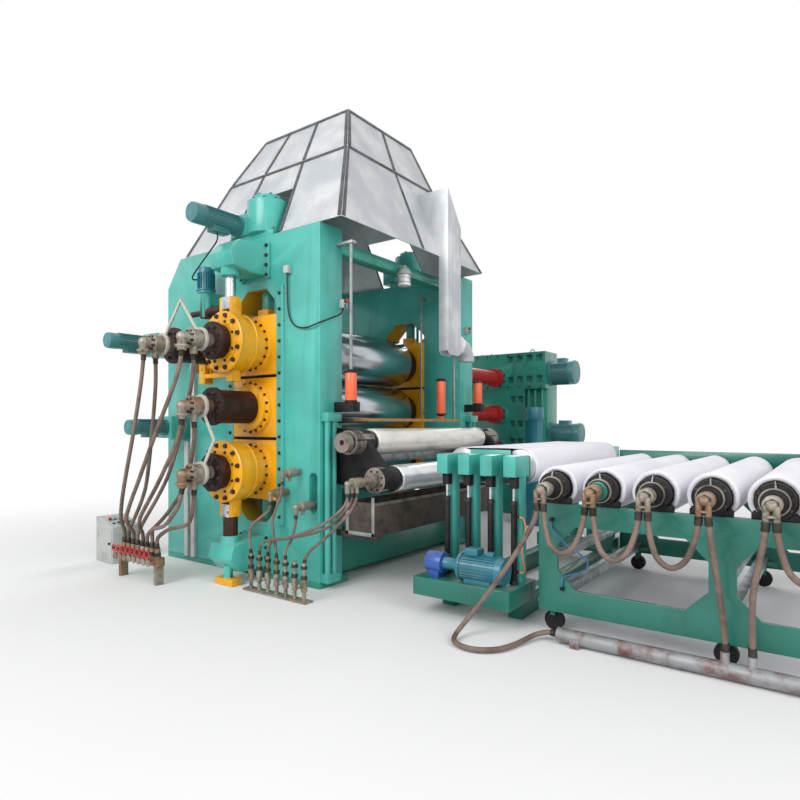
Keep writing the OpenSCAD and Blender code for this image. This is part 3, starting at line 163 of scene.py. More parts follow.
class Paint(Graph):  # one material
    def __init__(self, name, rough=0.5, metal=0.0, coat=0.0):
        self.material = bpy.data.materials.new(name)
        super().__init__(self.material)
        self.shader = self.tree.nodes["Principled BSDF"]
        self.shader.inputs["Roughness"].default_value = rough
        self.shader.inputs["Metallic"].default_value = metal
        self.shader.inputs["Coat Weight"].default_value = coat
        self.place = self.read("Object", "TexCoord")
        axes = self.node("SeparateXYZ", {"Vector": self.place})
        self.x, self.y = (Wire(self, axes.outputs[axis]) for axis in "XY")

    def noise(self, scale, detail=3.0, rough=0.55, stretch=None):
        where = self.place
        if stretch:
            where = self.read("Vector", "Mapping", {"Vector": where, "Scale": stretch})
        spread = {"Scale": scale, "Detail": detail, "Roughness": rough}
        return self.read("Fac", "TexNoise", {"Vector": where, **spread})

    def cells(self, scale):
        return self.read("Distance", "TexVoronoi", {"Vector": self.place, "Scale": scale})

    def facingUp(self):  # how far the surface looks up
        return self.read("Z", "SeparateXYZ", {"Vector": self.read("Normal", "NewGeometry")})

    def blend(self, a, b, share):
        return self.read(2, "Mix", {0: share, 6: a, 7: b}, data_type="RGBA")

    def shades(self, code, darkCode, pattern, low, high):
        return self.blend(tint(code), tint(darkCode), pattern.between(low, high))

    def done(self, colour, rough=None, height=None, depth=0.0, strength=1.0, metal=None):
        for key, value in (("Base Color", colour), ("Roughness", rough), ("Metallic", metal)):
            if value is not None:
                self.plug(self.shader.inputs[key], value)
        if height is not None:
            bump = self.read("Normal", "Bump", {"Height": height, "Distance": depth, "Strength": strength})
            self.plug(self.shader.inputs["Normal"], bump)
        return self.material


# Gloss paint on iron: uneven tone, a little dust on top, grime that ran down, fine orange peel
def enamel(name, code, grimeCode, rough=0.32, grime=0.5, dust=0.35):
    paint = Paint(name, rough=rough, coat=0.25)
    patches = paint.noise(1.7, 4.0)
    streaks = paint.noise(9.0, 5.0, 0.6, (1.0, 1.0, 0.13))
    spots = paint.noise(26.0, 3.0, 0.7)
    tone = paint.blend(tint(code, 0.84), tint(code, 1.1), patches.between(0.3, 0.7))
    worn = streaks.between(0.52, 0.78) * grime + spots.between(0.66, 0.8) * grime * 0.5
    tone = paint.blend(tone, tint(grimeCode), worn * 0.62)
    settled = paint.facingUp().above(0.75, 0.2) * paint.noise(5.0, 4.0).between(0.3, 0.75) * dust
    tone = paint.blend(tone, tint("#b9bdb0"), settled)
    peel = paint.noise(120.0, 2.0) + paint.noise(14.0, 2.0) * 0.8
    return paint.done(tone, rough + worn * 0.25 + settled * 0.35, peel, 0.0005)


rollZones = {"face": 0.866, "shaftFrom": 1.985}  # half the chromed face, and where the red shaft starts


def rollSteel(name):  # chromed face, greasy brown necks, red drive shaft
    paint = Paint(name, rough=0.12, metal=1.0)
    neck = paint.y.size().above(rollZones["face"], 0.004)
    shaft = paint.y.above(rollZones["shaftFrom"], 0.004)
    turned = paint.noise(3.0, 4.0, 0.6, (6.0, 90.0, 6.0))
    haze = paint.noise(2.2, 5.0, 0.6, (1.0, 0.35, 1.0))
    chrome = paint.shades("#c9ced2", "#9aa2a8", haze, 0.35, 0.75)
    greaseAndShadow = paint.shades("#2a1719", "#4a2c26", paint.noise(7.0, 5.0), 0.4, 0.75)
    red = paint.shades("#b3191c", "#5c0e12", paint.noise(6.0, 5.0, 0.65), 0.45, 0.8)
    return paint.done(paint.blend(paint.blend(chrome, greaseAndShadow, neck), red, shaft),
                      0.14 + haze * 0.14 + neck * (0.2 + turned * 0.2), turned * neck, 0.0008,
                      metal=1.0 - neck * 0.55 - shaft * 0.4)


def bareMetal(name, code, darkCode, rough=0.35, metal=0.9, grain=(1.0, 1.0, 1.0), depth=0.0004):
    paint = Paint(name, rough=rough, metal=metal)
    stain = paint.noise(8.0, 5.0, 0.65)
    grains = paint.noise(40.0, 3.0, 0.6, grain)
    return paint.done(paint.shades(code, darkCode, stain, 0.4, 0.75),
                      rough + stain * 0.25 - 0.08 + grains * 0.1, grains, depth)


def sheetMetal(name):  # grey painted hood sheet, oil-canned between its ribs
    paint = Paint(name, rough=0.42, metal=0.25)
    cloud = paint.noise(2.5, 4.0)
    tone = paint.shades("#b9bdc1", "#d5d7d9", cloud, 0.35, 0.7)
    dirty = paint.noise(7.0, 6.0, 0.7, (1.0, 1.0, 0.25)).between(0.55, 0.85)
    return paint.done(paint.blend(tone, tint("#8b8f90"), dirty * 0.5), 0.36 + cloud * 0.14 + dirty * 0.15,
                      paint.noise(0.9, 2.0, 0.4) + paint.cells(0.8) * 0.3, 0.02, 0.35)


def cloth(name, code, shadeCode):
    paint = Paint(name, rough=0.88)
    threads = paint.read(
        "Fac", "TexWave", {"Vector": paint.place, "Scale": 420.0 / 6.3, "Distortion": 1.2, "Detail": 1.0},
        wave_type="BANDS", bands_direction="Y")
    folds = paint.noise(5.0, 3.0, 0.5, (1.0, 0.25, 1.0))
    soil = paint.noise(3.0, 6.0, 0.7)
    # The folds are blended toward the darker shade colour: painted shade in the folds
    tone = paint.blend(tint(code), tint(shadeCode), folds.between(0.35, 0.75) * 0.6)
    paint.plug(paint.shader.inputs["Sheen Weight"], 0.25)
    return paint.done(paint.blend(tone, tint("#a8a297"), soil.between(0.62, 0.86) * 0.45), None,
                      threads * 0.12 + folds + paint.noise(60.0, 2.0) * 0.1, 0.006, 0.6)


def film(name, code, darkCode, metal):  # shiny liner wound on a roller, creased near its ends
    paint = Paint(name, rough=0.25, metal=metal, coat=0.4)
    crease = paint.noise(7.0, 6.0, 0.7, (1.0, 0.4, 1.0))
    crumple = paint.noise(26.0, 3.0, 0.6, (1.0, 0.5, 1.0))
    ends = paint.y.size().between(0.55, 1.0)
    return paint.done(paint.shades(code, darkCode, crease, 0.45, 0.8),
                      0.18 + crease * 0.25, crumple * (0.15 + ends) + crease * 0.6, 0.007, 0.5)


def castBrass(name):  # dull union bodies, some greyer and some redder
    paint = Paint(name, rough=0.45, metal=0.5)
    which = paint.noise(1.9, 1.0).between(0.42, 0.58)
    stain = paint.noise(14.0, 5.0, 0.65)
    tone = paint.blend(tint("#9f988b"), tint("#96795f"), which)
    return paint.done(paint.blend(tone, tint("#4f4038"), stain.between(0.42, 0.8)), 0.36 + stain * 0.25,
                      paint.noise(70.0, 3.0), 0.0006)


rubber = {"uneven": 0.65, "edges": (0.35, 0.75), "dull": 0.25, "grain": (30.0, 4.0, 0.6), "depth": 0.0012}
plastic = {"uneven": 0.6, "edges": (0.45, 0.85), "dull": 0.15, "grain": (160.0, 2.0), "depth": 0.0003}


def mottled(name, code, darkCode, rough, uneven, edges, dull, grain, depth):
    paint = Paint(name, rough=rough)
    grime = paint.noise(6.0, 5.0, uneven)
    return paint.done(paint.shades(code, darkCode, grime, *edges), rough + grime * dull,
                      paint.noise(*grain), depth)


def timber(name):
    paint = Paint(name, rough=0.7)
    grain = paint.noise(18.0, 5.0, 0.6, (9.0, 0.5, 9.0))
    tone = paint.shades("#b58a57", "#7b5832", grain, 0.35, 0.7)
    return paint.done(tone, None, grain, 0.001)


paints = {
    "green": enamel("greenPaint", "#47aea2", "#1f5e55"),
    # A darker copy of the green paint: painted shade on the cooling line's frames, base and ties
    "shadedLineGreen": enamel("shadedLineGreenPaint", "#1b7364", "#103832", grime=0.6),
    "darkGreen": enamel("darkGreenPaint", "#2a8b7b", "#123f37", grime=0.7),
    "yellow": enamel("yellowPaint", "#eba60a", "#6f4310", rough=0.3, grime=0.8, dust=0.1),
    # A dark yellow-brown: painted shadow in the gaps behind the bending rings, with some grease
    "shadowYellow": enamel("shadowYellowPaint", "#6e4c12", "#2c1d0c", rough=0.45, grime=0.9, dust=0.0),
    "olive": enamel("windowPaint", "#a48b1c", "#3c3512", rough=0.4, grime=0.9, dust=0.1),
    "teal": enamel("motorPaint", "#3f7d80", "#20393b", rough=0.4, grime=0.6),
    "blue": enamel("bluePaint", "#237688", "#17394a", rough=0.38, grime=0.6),
    "deepBlue": enamel("deepBluePaint", "#2d57a6", "#152a52", rough=0.38, grime=0.5),
    "orange": enamel("orangePaint", "#ff6a3c", "#a33a1c", rough=0.4, grime=0.3),
    "red": enamel("redPaint", "#c8211f", "#5a1110", rough=0.35, grime=0.4),
    "roll": rollSteel("rollSteel"),
    "steel": bareMetal("brightSteel", "#b9bdc0", "#7d8286", 0.28, 0.95),
    "chrome": bareMetal("chromedRod", "#d3d6d8", "#a4a9ad", 0.14, 1.0, depth=0.0001),
    "iron": bareMetal("darkIron", "#2c2a2b", "#141314", 0.5, 0.6, depth=0.001),
    "rust": bareMetal("brownIron", "#4a2f28", "#2a1917", 0.5, 0.5, depth=0.001),
    "bolt": bareMetal("boltSteel", "#4b4742", "#27221f", 0.42, 0.75, depth=0.0003),
    "worn": bareMetal("wornSteel", "#918880", "#453c37", 0.42, 0.65, depth=0.0008),
    "tray": bareMetal("trayIron", "#5b5049", "#332c29", 0.55, 0.4, depth=0.001),
    "pipe": bareMetal("oldPipe", "#9a9d9f", "#70423b", 0.48, 0.5, (0.3, 1.0, 1.0), 0.001),
    "galvanised": bareMetal("galvanisedTube", "#a8acab", "#7d8282", 0.42, 0.6),
    "brass": castBrass("dullBrass"),
    "sheet": sheetMetal("hoodSheet"),
    "seam": bareMetal("hoodSeam", "#64686b", "#3c3f42", 0.5, 0.5),
    "cloth": cloth("rollerCloth", "#eceaf0", "#d3d0dc"),
    "canvas": film("pearlFilm", "#e9e6df", "#b9b3a6", 0.15),
    "foil": film("brightFilm", "#e6e8ec", "#a7abb2", 0.75),
    "hose": mottled("hoseRubber", "#7f6d62", "#51423b", 0.5, **rubber),
    "blackCable": mottled("blackCable", "#222224", "#121213", 0.4, **rubber),
    "orangeTube": mottled("orangeTube", "#f08a5c", "#d06a3e", 0.35, **rubber),
    "blueTube": mottled("blueTube", "#3f79a8", "#2a5780", 0.35, **rubber),
    "grey": mottled("greyPaint", "#b8bbb8", "#8d918f", 0.45, **plastic),
    "white": mottled("whitePaint", "#bdb9ae", "#8c877c", 0.45, **plastic),
    "globe": mottled("lampGlobe", "#eef0ee", "#d5d8d5", 0.12, **plastic),
    "wood": timber("boardWood"),
}
looks = [  # paint, edge radius of the node's rounded copy (0 for no copy), nodes
    ("green", 0.006, "operator_side_frame drive_side_frame bending_brackets screw_units side_adjusters"),
    ("green", 0.004, "roller_slides lifting_posts"),
    # The cooling line takes the darker copy of the green paint, as painted shade
    ("shadedLineGreen", 0.004, "transfer_base cooling_near_frame cooling_far_frame"),
    ("darkGreen", 0.006, "reducer_lower reducer_upper"),
    ("darkGreen", 0.004, "bedplate frame_ties"),
    ("pipe", 0.002, "coolant_header"),
    ("yellow", 0.006, "operator_housings drive_housings bending_rings"),
    ("roll", 0.002, " ".join(rolls)),
    ("teal", 0.002, "adjusting_motors reducer_motors"),
    ("blue", 0.004, "hydraulic_unit"),
    ("blue", 0.002, "transfer_motor"),
    ("brass", 0.002, "rotary_unions valve_manifolds"),
    ("sheet", 0, "hood_panels"),
    ("sheet", 0.002, "exhaust_duct duct_elbow"),
    ("seam", 0, "hood_ribs"),
    # Dark iron: the guide bearings are dark, and their dark also stands in for painted shade round them
    ("iron", 0.004, "guide_bearings cooling_bearings"),
    ("iron", 0.002, "lifting_jacks"),
    ("tray", 0.002, "drip_tray"),
    ("steel", 0.002, "scraper_plate apron_front_roller apron_rear_roller cooling_ties"),
    ("chrome", 0.002, "bending_spindles"),
    ("white", 0.002, "union_stays"),
    ("galvanised", 0.002, "lift_rods"),
    ("grey", 0.004, "control_console"),
    ("grey", 0.002, "cable_trunking work_lamp"),
    ("canvas", 0, "upper_guide_roller"),
    ("foil", 0, "lower_guide_roller"),
    ("cloth", 0, " ".join(["apron_belt"] + coolers)),
    ("orange", 0.002, "lift_cylinders"),
    ("wood", 0.002, "side_board"),
    ("hose", 0, "calender_hoses cooling_hoses"),
]
for paint, width, nodes in looks:
    for node in nodes.split():
        materials = frame["nodes"][node].data.materials
        materials.clear()
        materials.append(paints[paint])


def plainFloor():
    bpy.ops.mesh.primitive_plane_add(size=90, location=(2, 0, -0.002))
    floor = bpy.context.object
    floor.name = "studioFloor"
    paint = Paint("floorWhite", rough=0.9)
    away = paint.sums("SQRT", paint.sums("POWER", paint.x - 1.0, 2.0) + paint.sums("POWER", paint.y, 2.0))
    mixed = paint.read(0, "MixShader", {
        0: away.between(5.0, 11.0) * paint.read("Is Camera Ray", "LightPath"),
        1: Wire(paint, paint.shader.outputs[0]),
        2: paint.read(0, "Emission", {"Color": (1, 1, 1, 1), "Strength": 1.0})})
    paint.plug(paint.tree.nodes["Material Output"].inputs["Surface"], mixed)
    floor.data.materials.append(paint.done((0.86, 0.86, 0.86, 1.0)))


def plainSky(light=0.5):  # white to the camera and in mirrors, dimmer as a light
    world = bpy.data.worlds.new("studioWhite")
    bpy.context.scene.world = world
    sky = Graph(world)
    seen = sky.read("Is Camera Ray", "LightPath")
    for other in ("Is Glossy Ray", "Is Transmission Ray"):
        seen = sky.sums("MAXIMUM", seen, sky.read(other, "LightPath"))
    background = sky.tree.nodes["Background"].inputs
    level = sky.read("Result", "MapRange", {"Value": seen, "To Min": light, "To Max": 1.0})
    sky.plug(background["Strength"], level)
    sky.plug(background["Color"], (1, 1, 1, 1))


plainFloor()
plainSky()


def linked(name, data):
    piece = bpy.data.objects.new(name, data)
    bpy.context.scene.collection.objects.link(piece)
    return piece


def settled():  # the primitive just added, with its place moved into its mesh
    bpy.ops.object.transform_apply(location=True, rotation=True, scale=True)
    return bpy.context.object


def choose(piece, test):  # edit mode, with only the faces that pass selected
    pick(piece)
    mode("EDIT")
    bpy.ops.mesh.select_mode(type="FACE")
    bpy.ops.mesh.select_all(action="DESELECT")
    mode("OBJECT")
    for face in piece.data.polygons:
        face.select = test(face.center, face.normal)
    mode("EDIT")


def softened(piece, angle=30):
    pick(piece)
    bpy.ops.object.shade_smooth_by_angle(angle=math.radians(angle))
    return piece


def modified(piece, kind, **settings):
    pick(piece)
    made = piece.modifiers.new(kind.lower(), kind)
    for key, value in settings.items():
        setattr(made, key, value)
    bpy.ops.object.modifier_apply(modifier=made.name)
    return piece


def joined(pieces, name):
    pick(*pieces)
    if len(pieces) > 1:
        bpy.ops.object.join()
    pieces[0].name = name
    return pieces[0]


def coloured(piece, paint):
    piece.data.materials.clear()
    piece.data.materials.append(paints[paint])
    return piece


# The piece rides on a body, and may stand for CAD nodes
def mounted(piece, body=plant, instead=()):
    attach(piece, body)
    if instead:
        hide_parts(*instead)
    return piece


def stand(at, out=up):  # places a shape made along +z so that it stands at a point and looks out
    return moved(at) @ Vector(out).to_track_quat("Z", "Y").to_matrix().to_4x4()


def onAxis(node, y):
    return (axisOf[node].x, y, axisOf[node].z)


def block(middle, size, paint):  # a plain box, to be shaped further
    clearPick()
    bpy.ops.mesh.primitive_cube_add(size=1.0, location=middle)
    bpy.ops.transform.resize(value=size)
    return coloured(settled(), paint)


def torus(radius, thick, around, section, paint, middle=(0, 0, 0), turn=(0, 0, 0)):
    clearPick()
    bpy.ops.mesh.primitive_torus_add(major_radius=radius, minor_radius=thick, major_segments=around,
                                     minor_segments=section, location=middle, rotation=turn)
    return coloured(settled(), paint)


# A round shape about z, from (radius, height) steps; each step is extruded from the last face
def turned(outline, count, paint, smooth=30):
    clearPick()
    bpy.ops.mesh.primitive_circle_add(vertices=count, radius=outline[0][0], fill_type="NGON",
                                      location=(0, 0, outline[0][1]))
    piece = settled()
    mode("EDIT")
    bpy.ops.mesh.select_all(action="SELECT")
    for (radius, height), (nextRadius, nextHeight) in zip(outline, outline[1:]):
        bpy.ops.mesh.extrude_region_move(TRANSFORM_OT_translate={"value": (0, 0, nextHeight - height)})
        share = nextRadius / radius
        bpy.ops.transform.resize(value=(share, share, 1), center_override=(0, 0, nextHeight))
    bpy.ops.mesh.select_all(action="SELECT")
    bpy.ops.mesh.normals_make_consistent(inside=False)
    mode("OBJECT")
    return softened(coloured(piece, paint), smooth)


def put(piece, place):
    piece.data.transform(place)
    return piece


def twin(template, place):
    piece = put(linked(template.name, template.data.copy()), place)
    if place.determinant() < 0:
        piece.data.flip_normals()
    return piece


def removed(*templates):
    pick(*templates)
    bpy.ops.object.delete()


# One piece of finished shapes and of groups, each a template with the places of its copies
def assembly(name, groups, body=plant, shapes=()):
    copies = [twin(template, place) for template, places in groups for place in places]
    piece = mounted(joined(list(shapes) + copies, name), body)
    if groups:
        removed(*dict.fromkeys(template for template, places in groups))
    return piece


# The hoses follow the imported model's routes, in metres
hose = {
    "radius": {"calender_hose": 0.019, "thin_hose": 0.013, "motor_cable": 0.008, "floor_hose": 0.019,
               "supply_hose": 0.019, "loop_hose": 0.019, "air_tube": 0.006},
    "paint": {"motor_cable": ["blackCable"], "air_tube": ["orangeTube", "blueTube"]},
    "ferrule": 0.055,  # length of the crimped sleeve at each end
    "turns": 2,  # points between two route points
    "bore": 0.975,  # share of the radius that is drawn
    "calender_hose": [
        [(-0.62, -2.285, 2.2), (-0.65, -2.3, 1.9), (-0.74, -2.33, 1.4), (-0.9, -2.33, 0.9),
         (-1.06, -2.27, 0.6), (-1.09, -2.216, 0.46), (-1.09, -2.214, 0.34)],
        [(-0.62, -2.163, 2.175), (-0.64, -2.15, 1.9), (-0.76, -2.12, 1.4), (-0.88, -2.11, 0.9),
         (-0.985, -2.16, 0.6), (-1.006, -2.212, 0.46), (-1.006, -2.214, 0.34)],
        [(0, -2.285, 2.2), (-0.05, -2.31, 1.95), (-0.2, -2.4, 1.5), (-0.5, -2.41, 1), (-0.85, -2.33, 0.62),
         (-0.922, -2.218, 0.46), (-0.922, -2.214, 0.34)],
        [(0, -2.163, 2.175), (-0.06, -2.14, 1.95), (-0.33, -2.06, 1.5), (-0.6, -2.05, 1),
         (-0.8, -2.13, 0.64), (-0.838, -2.212, 0.46), (-0.838, -2.214, 0.34)],
        [(0, -2.285, 1.58), (-0.06, -2.31, 1.35), (-0.28, -2.37, 0.95), (-0.65, -2.31, 0.62),
         (-0.754, -2.217, 0.46), (-0.754, -2.214, 0.34)],
        [(0, -2.163, 1.555), (-0.05, -2.13, 1.35), (-0.26, -2.08, 0.95), (-0.56, -2.11, 0.62),
         (-0.67, -2.21, 0.46), (-0.67, -2.214, 0.34)],
        [(0, -2.285, 0.96), (-0.03, -2.3, 0.8), (-0.2, -2.33, 0.61), (-0.48, -2.27, 0.54),
         (-0.586, -2.217, 0.45), (-0.586, -2.214, 0.34)],
        [(0, -2.163, 0.935), (-0.03, -2.15, 0.78), (-0.15, -2.12, 0.6), (-0.4, -2.15, 0.53),
         (-0.502, -2.211, 0.44), (-0.502, -2.214, 0.34)],
    ],
    "thin_hose": [
        [(1.44, -1.68, 0.95), (1.425, -1.7, 0.85), (1.25, -1.77, 0.69), (0.95, -1.83, 0.56),
         (0.67, -1.83, 0.5), (0.5, -1.804, 0.43), (0.475, -1.8, 0.34)],
        [(1.416, -1.584, 0.944), (1.4, -1.61, 0.84), (1.22, -1.71, 0.64), (0.9, -1.77, 0.54),
         (0.68, -1.79, 0.49), (0.6, -1.801, 0.43), (0.59, -1.8, 0.34)],
        [(1.464, -1.584, 0.944), (1.455, -1.64, 0.82), (1.3, -1.76, 0.6), (1.12, -1.8, 0.45),
         (1.05, -1.8, 0.34)],
        [(0.455, -1.65, 0.81), (0.445, -1.665, 0.72), (0.3, -1.74, 0.58), (0.33, -1.79, 0.45),
         (0.36, -1.8, 0.34)],
        [(0.62, -1.65, 1.008), (0.61, -1.67, 0.86), (0.54, -1.7, 0.64), (0.64, -1.76, 0.45),
         (0.705, -1.8, 0.34)],
        [(0.795, -1.65, 0.71), (0.8, -1.665, 0.62), (0.83, -1.74, 0.5), (0.822, -1.796, 0.43),
         (0.82, -1.8, 0.34)],
    ],
    "motor_cable": [
        [(0.47, -1.452, 2.99), (0.47, -1.452, 2.88), (0.474, -1.451, 2.72), (0.5, -1.45, 2.56),
         (0.59, -1.45, 2.465), (0.74, -1.456, 2.44), (0.885, -1.452, 2.47), (0.93, -1.34, 2.52),
         (0.915, -1.18, 2.59), (0.908, -1.135, 2.65)],
        [(-0.274, -1.7, 3.451), (-0.278, -1.705, 3.37), (-0.38, -1.75, 3.23), (-0.56, -1.765, 3.08),
         (-0.64, -1.735, 3.045), (-0.668, -1.68, 3.04), (-0.668, -1.61, 3.07)],
    ],
    "air_tube": [
        [(2.79, -1.236, 0.82), (2.83, -1.245, 0.812), (2.88, -1.32, 0.74), (2.88, -1.38, 0.61),
         (2.87, -1.32, 0.48), (2.83, -1.245, 0.408), (2.79, -1.236, 0.4)],
        [(3.06, -1.266, 0.822), (3.07, -1.272, 0.76), (3.2, -1.3, 0.66), (3.34, -1.31, 0.58),
         (3.3, -1.3, 0.49), (3.16, -1.272, 0.43), (3.14, -1.266, 0.353)],
    ],
    "floor_hose": [
        [(3.049, -1.515, 0.98), (3.04, -1.53, 0.86), (2.88, -1.57, 0.56), (2.66, -1.65, 0.22),
         (2.56, -1.77, 0.05), (2.62, -1.9, 0.025), (2.78, -1.94, 0.025), (2.92, -1.84, 0.025),
         (2.98, -1.64, 0.025), (3.02, -1.49, 0.04), (3.09, -1.428, 0.058), (3.17, -1.42, 0.06)],
    ],
}
cooling = {"unionEnd": 1.5153, "drop": 0.09, "port": 0.026, "header": -1.42, "tap": 0.17,
           "fed": [(3, 1, 0.1), (4, -1, -0.1), (6, 1, 0.1)], "loops": [0, 1, 2, 4, 5]}


def smoothed(route, turns):
    points = [Vector(p) for p in route]
    made = []
    for i in range(len(points) - 1):
        a, b = points[max(i - 1, 0)], points[i]
        c, d = points[i + 1], points[min(i + 2, len(points) - 1)]
        for k in range(turns):
            t = k / turns
            made.append(0.5 * (2 * b + (c - a) * t + (2 * a - 5 * b + 4 * c - d) * t * t
                               + (3 * b - a - 3 * c + d) * t * t * t))
    return made + [points[-1]]


def sleeveFor(radius):  # a crimped ferrule, from z 0 down the hose
    long = hose["ferrule"] * radius / 0.019
    steps = [(radius * 1.05, 0.0), (radius * 1.32, 0.002), (radius * 1.32, long * 0.2)]
    for k in range(3):
        at = long * (0.25 + 0.2 * k)
        steps += [(radius * 1.2, at), (radius * 1.2, at + long * 0.04), (radius * 1.3, at + long * 0.08)]
        steps.append((radius * 1.3, at + long * 0.14))
    return turned(steps + [(radius * 1.1, long)], 16, "bolt", 25)


sleeves = {radius: sleeveFor(radius) for radius in (0.019, 0.013)}


def hoseAlong(kind, number, route, node):
    name = "%s_%d" % (kind, number)
    radius = hose["radius"][kind]
    fine = smoothed([tuple(p) for p in smoothed(route, hose["turns"])], 3)
    curve = bpy.data.curves.new(name, "CURVE")
    curve.dimensions = "3D"
    curve.bevel_depth = radius * hose["bore"]
    curve.bevel_resolution = 4
    spline = curve.splines.new("POLY")
    spline.points.add(len(fine) - 1)
    for point, place in zip(spline.points, fine):
        point.co = (*place, 1.0)
    piece = linked(name, curve)
    choices = hose["paint"].get(kind, ["hose"])
    curve.materials.append(paints[choices[(number - 1) % len(choices)]])
    mounted(piece, plant, [node])
    ends = []
    if radius in sleeves:
        places = [stand(fine[0], fine[1] - fine[0]), stand(fine[-1], fine[-2] - fine[-1])]
        ends = [mounted(joined([twin(sleeves[radius], place) for place in places], name + "_ferrules"))]
    length = sum((b - a).length for a, b in zip(fine, fine[1:]))
    print("hose", name, round(length, 3))


for node, kinds in (("calender_hoses", ("calender_hose", "thin_hose", "motor_cable")),
                    ("cooling_hoses", ("floor_hose", "air_tube"))):
    for kind in kinds:
        for number, route in enumerate(hose[kind], 1):
            hoseAlong(kind, number, route, node)
firstRoller = axisOf[coolers[0]]
pitch, port = axisOf[coolers[1]].x - firstRoller.x, cooling["port"]
y, z = -cooling["unionEnd"], firstRoller.z - cooling["drop"]
for number, (roller, side, reach) in enumerate(cooling["fed"], 1):
    axis = firstRoller.x + roller * pitch
    x, tap = axis + side * port, axis + reach
    hoseAlong("supply_hose", number, [
        (x, y, z), (x + side * 0.012, y - 0.008, z - 0.12), (x + side * 0.06, y - 0.03, 0.56),
        (tap, cooling["header"] - 0.012, cooling["tap"] + 0.11), (tap, cooling["header"], cooling["tap"])],
        "cooling_hoses")
for number, roller in enumerate(cooling["loops"], 1):
    x = firstRoller.x + roller * pitch
    hoseAlong("loop_hose", number, [
        (x + port, y, z), (x + port + 0.012, y - 0.01, z - 0.11), (x + port + 0.06, y - 0.04, 0.72),
        (x + pitch / 2, y - 0.05, 0.66), (x + pitch - port - 0.06, y - 0.04, 0.72),
        (x + pitch - port - 0.012, y - 0.01, z - 0.11), (x + pitch - port, y, z)], "cooling_hoses")
removed(*sleeves.values())


def ringOf(centre, radius, count, out=up):  # places round a circle that faces out
    face = stand(centre, out)
    return [face @ Matrix.Rotation(math.tau * (k + 0.5) / count, 4, "Z") @ moved((radius, 0, 0))
            for k in range(count)]


def rowOf(first, last, count, out):
    a, b = Vector(first), Vector(last)
    return [stand(a.lerp(b, k / (count - 1)), out) for k in range(count)]


def boltHead(across):  # hexagon head on its washer
    washer = [(0.66, 0.0), (0.66, 0.1), (0.6, 0.13)]
    head = [(0.56, 0.1), (0.56, 0.62), (0.44, 0.74)]
    return joined([turned([(across * radius, across * height) for radius, height in steps], count, "bolt")
                   for steps, count in ((washer, 12), (head, 6))], "boltTemplate")


def bolted(name, across, places, body=plant):
    assembly(name, [(boltHead(across), places)], body=body)


# Bolts: radii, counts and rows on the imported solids
frameLow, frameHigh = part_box("operator_side_frame")
bolts = {
    "cover": {"across": 0.022, "proud": 0.044, "radius": 0.247, "count": 18},
    "ring": {"across": 0.036, "sunk": 0.014, "radius": 0.256, "count": 12},
    "hub": {"across": 0.022, "radius": 0.2, "count": 8},
    "flange": {"across": 0.03, "radius": 0.132, "count": 8},
    "coupling": {"across": 0.03, "long": 0.13, "radius": 0.162, "count": 8},
    "gib": {"across": 0.026, "x": 0.3725},
}


def boltCircle(kind, node, y, side):
    return ringOf(onAxis(node, side * y), bolts[kind]["radius"], bolts[kind]["count"], (0, side, 0))


coverY = -frameLow.y + bolts["cover"]["proud"]
ringY = -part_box("bending_rings")[0].y
for name, kind, nodes, y in (("bearingCoverBolts", "cover", rolls, coverY),
                             ("bendingRingBolts", "ring", bentRolls, ringY - bolts["ring"]["sunk"]),
                             ("bendingHubBolts", "hub", bentRolls, ringY)):
    bolted(name, bolts[kind]["across"],
           [place for side in sides for node in nodes for place in boltCircle(kind, node, y, side)])
for roll in rolls:
    end = -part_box(roll)[0].y
    for kind, y, side in (("flange", end, -1), ("coupling", end + bolts["coupling"]["long"], 1)):
        bolted("%s_%sBolts" % (roll, kind), bolts[kind]["across"], boltCircle(kind, roll, y, side), roll)
gib = bolts["gib"]
gibRows = [(gib["x"], 0.63, 2.81, 15), (-gib["x"], 0.63, 1.93, 9), (-gib["x"], 2.68, 2.83, 2)]
bolted("gibBolts", gib["across"], [
    place for side in sides for x, low, high, count in gibRows
    for place in rowOf((x, side * -frameLow.y, low), (x, side * -frameLow.y, high), count, (0, side, 0))])
# Feet of the brackets, screw units, bearings, pedestals and anchors
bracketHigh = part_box("bending_brackets")[1].z
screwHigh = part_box("screw_units")[1].z
feet = {
    "bracket": {"y": 1.466, "x": 0.1925, "rows": [(bracketHigh - 0.03, bracketHigh - 0.32), (0.115, 0.41)]},
    "unit": {"x": 0.215, "y": (1.145, 1.405), "up": 0.055},
    "screw": {"y": 1.275, "circles": [(screwHigh - 0.06, 0.183, 10), (screwHigh, 0.115, 6)]},
    "guide": {"y": {"upper_guide_roller": 1.36, "lower_guide_roller": 1.32}, "radius": 0.088},
    "anchor": {"x": (-1.4, 0.75), "y": 1.075},
    "pedestal": {"x": 0.108, "y": -1.243, "up": 0.04},
    "bearing": {"y": -1.28, "radius": 0.094},
}
bracket, unit, screw, anchor, pedestal = (feet[k] for k in ("bracket", "unit", "screw", "anchor", "pedestal"))
places, small, anchors = [], [], []
for side in sides:
    out = (0, side, 0)
    for x in (-bracket["x"], bracket["x"]):
        for ends in bracket["rows"]:
            places += rowOf(*[(x, side * bracket["y"], z) for z in ends], 4, out)
    places += [stand((x, side * y, frameHigh.z + unit["up"]))
               for x in (-unit["x"], unit["x"]) for y in unit["y"]]
    for z, radius, count in screw["circles"]:
        places += ringOf((0, side * screw["y"], z), radius, count)
    for node, y in feet["guide"]["y"].items():
        small += ringOf(onAxis(node, side * y), feet["guide"]["radius"], 8, out)
    anchors += [stand((x, side * anchor["y"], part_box("bedplate")[1].z)) for x in anchor["x"]]
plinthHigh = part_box("cooling_near_frame")[1].z
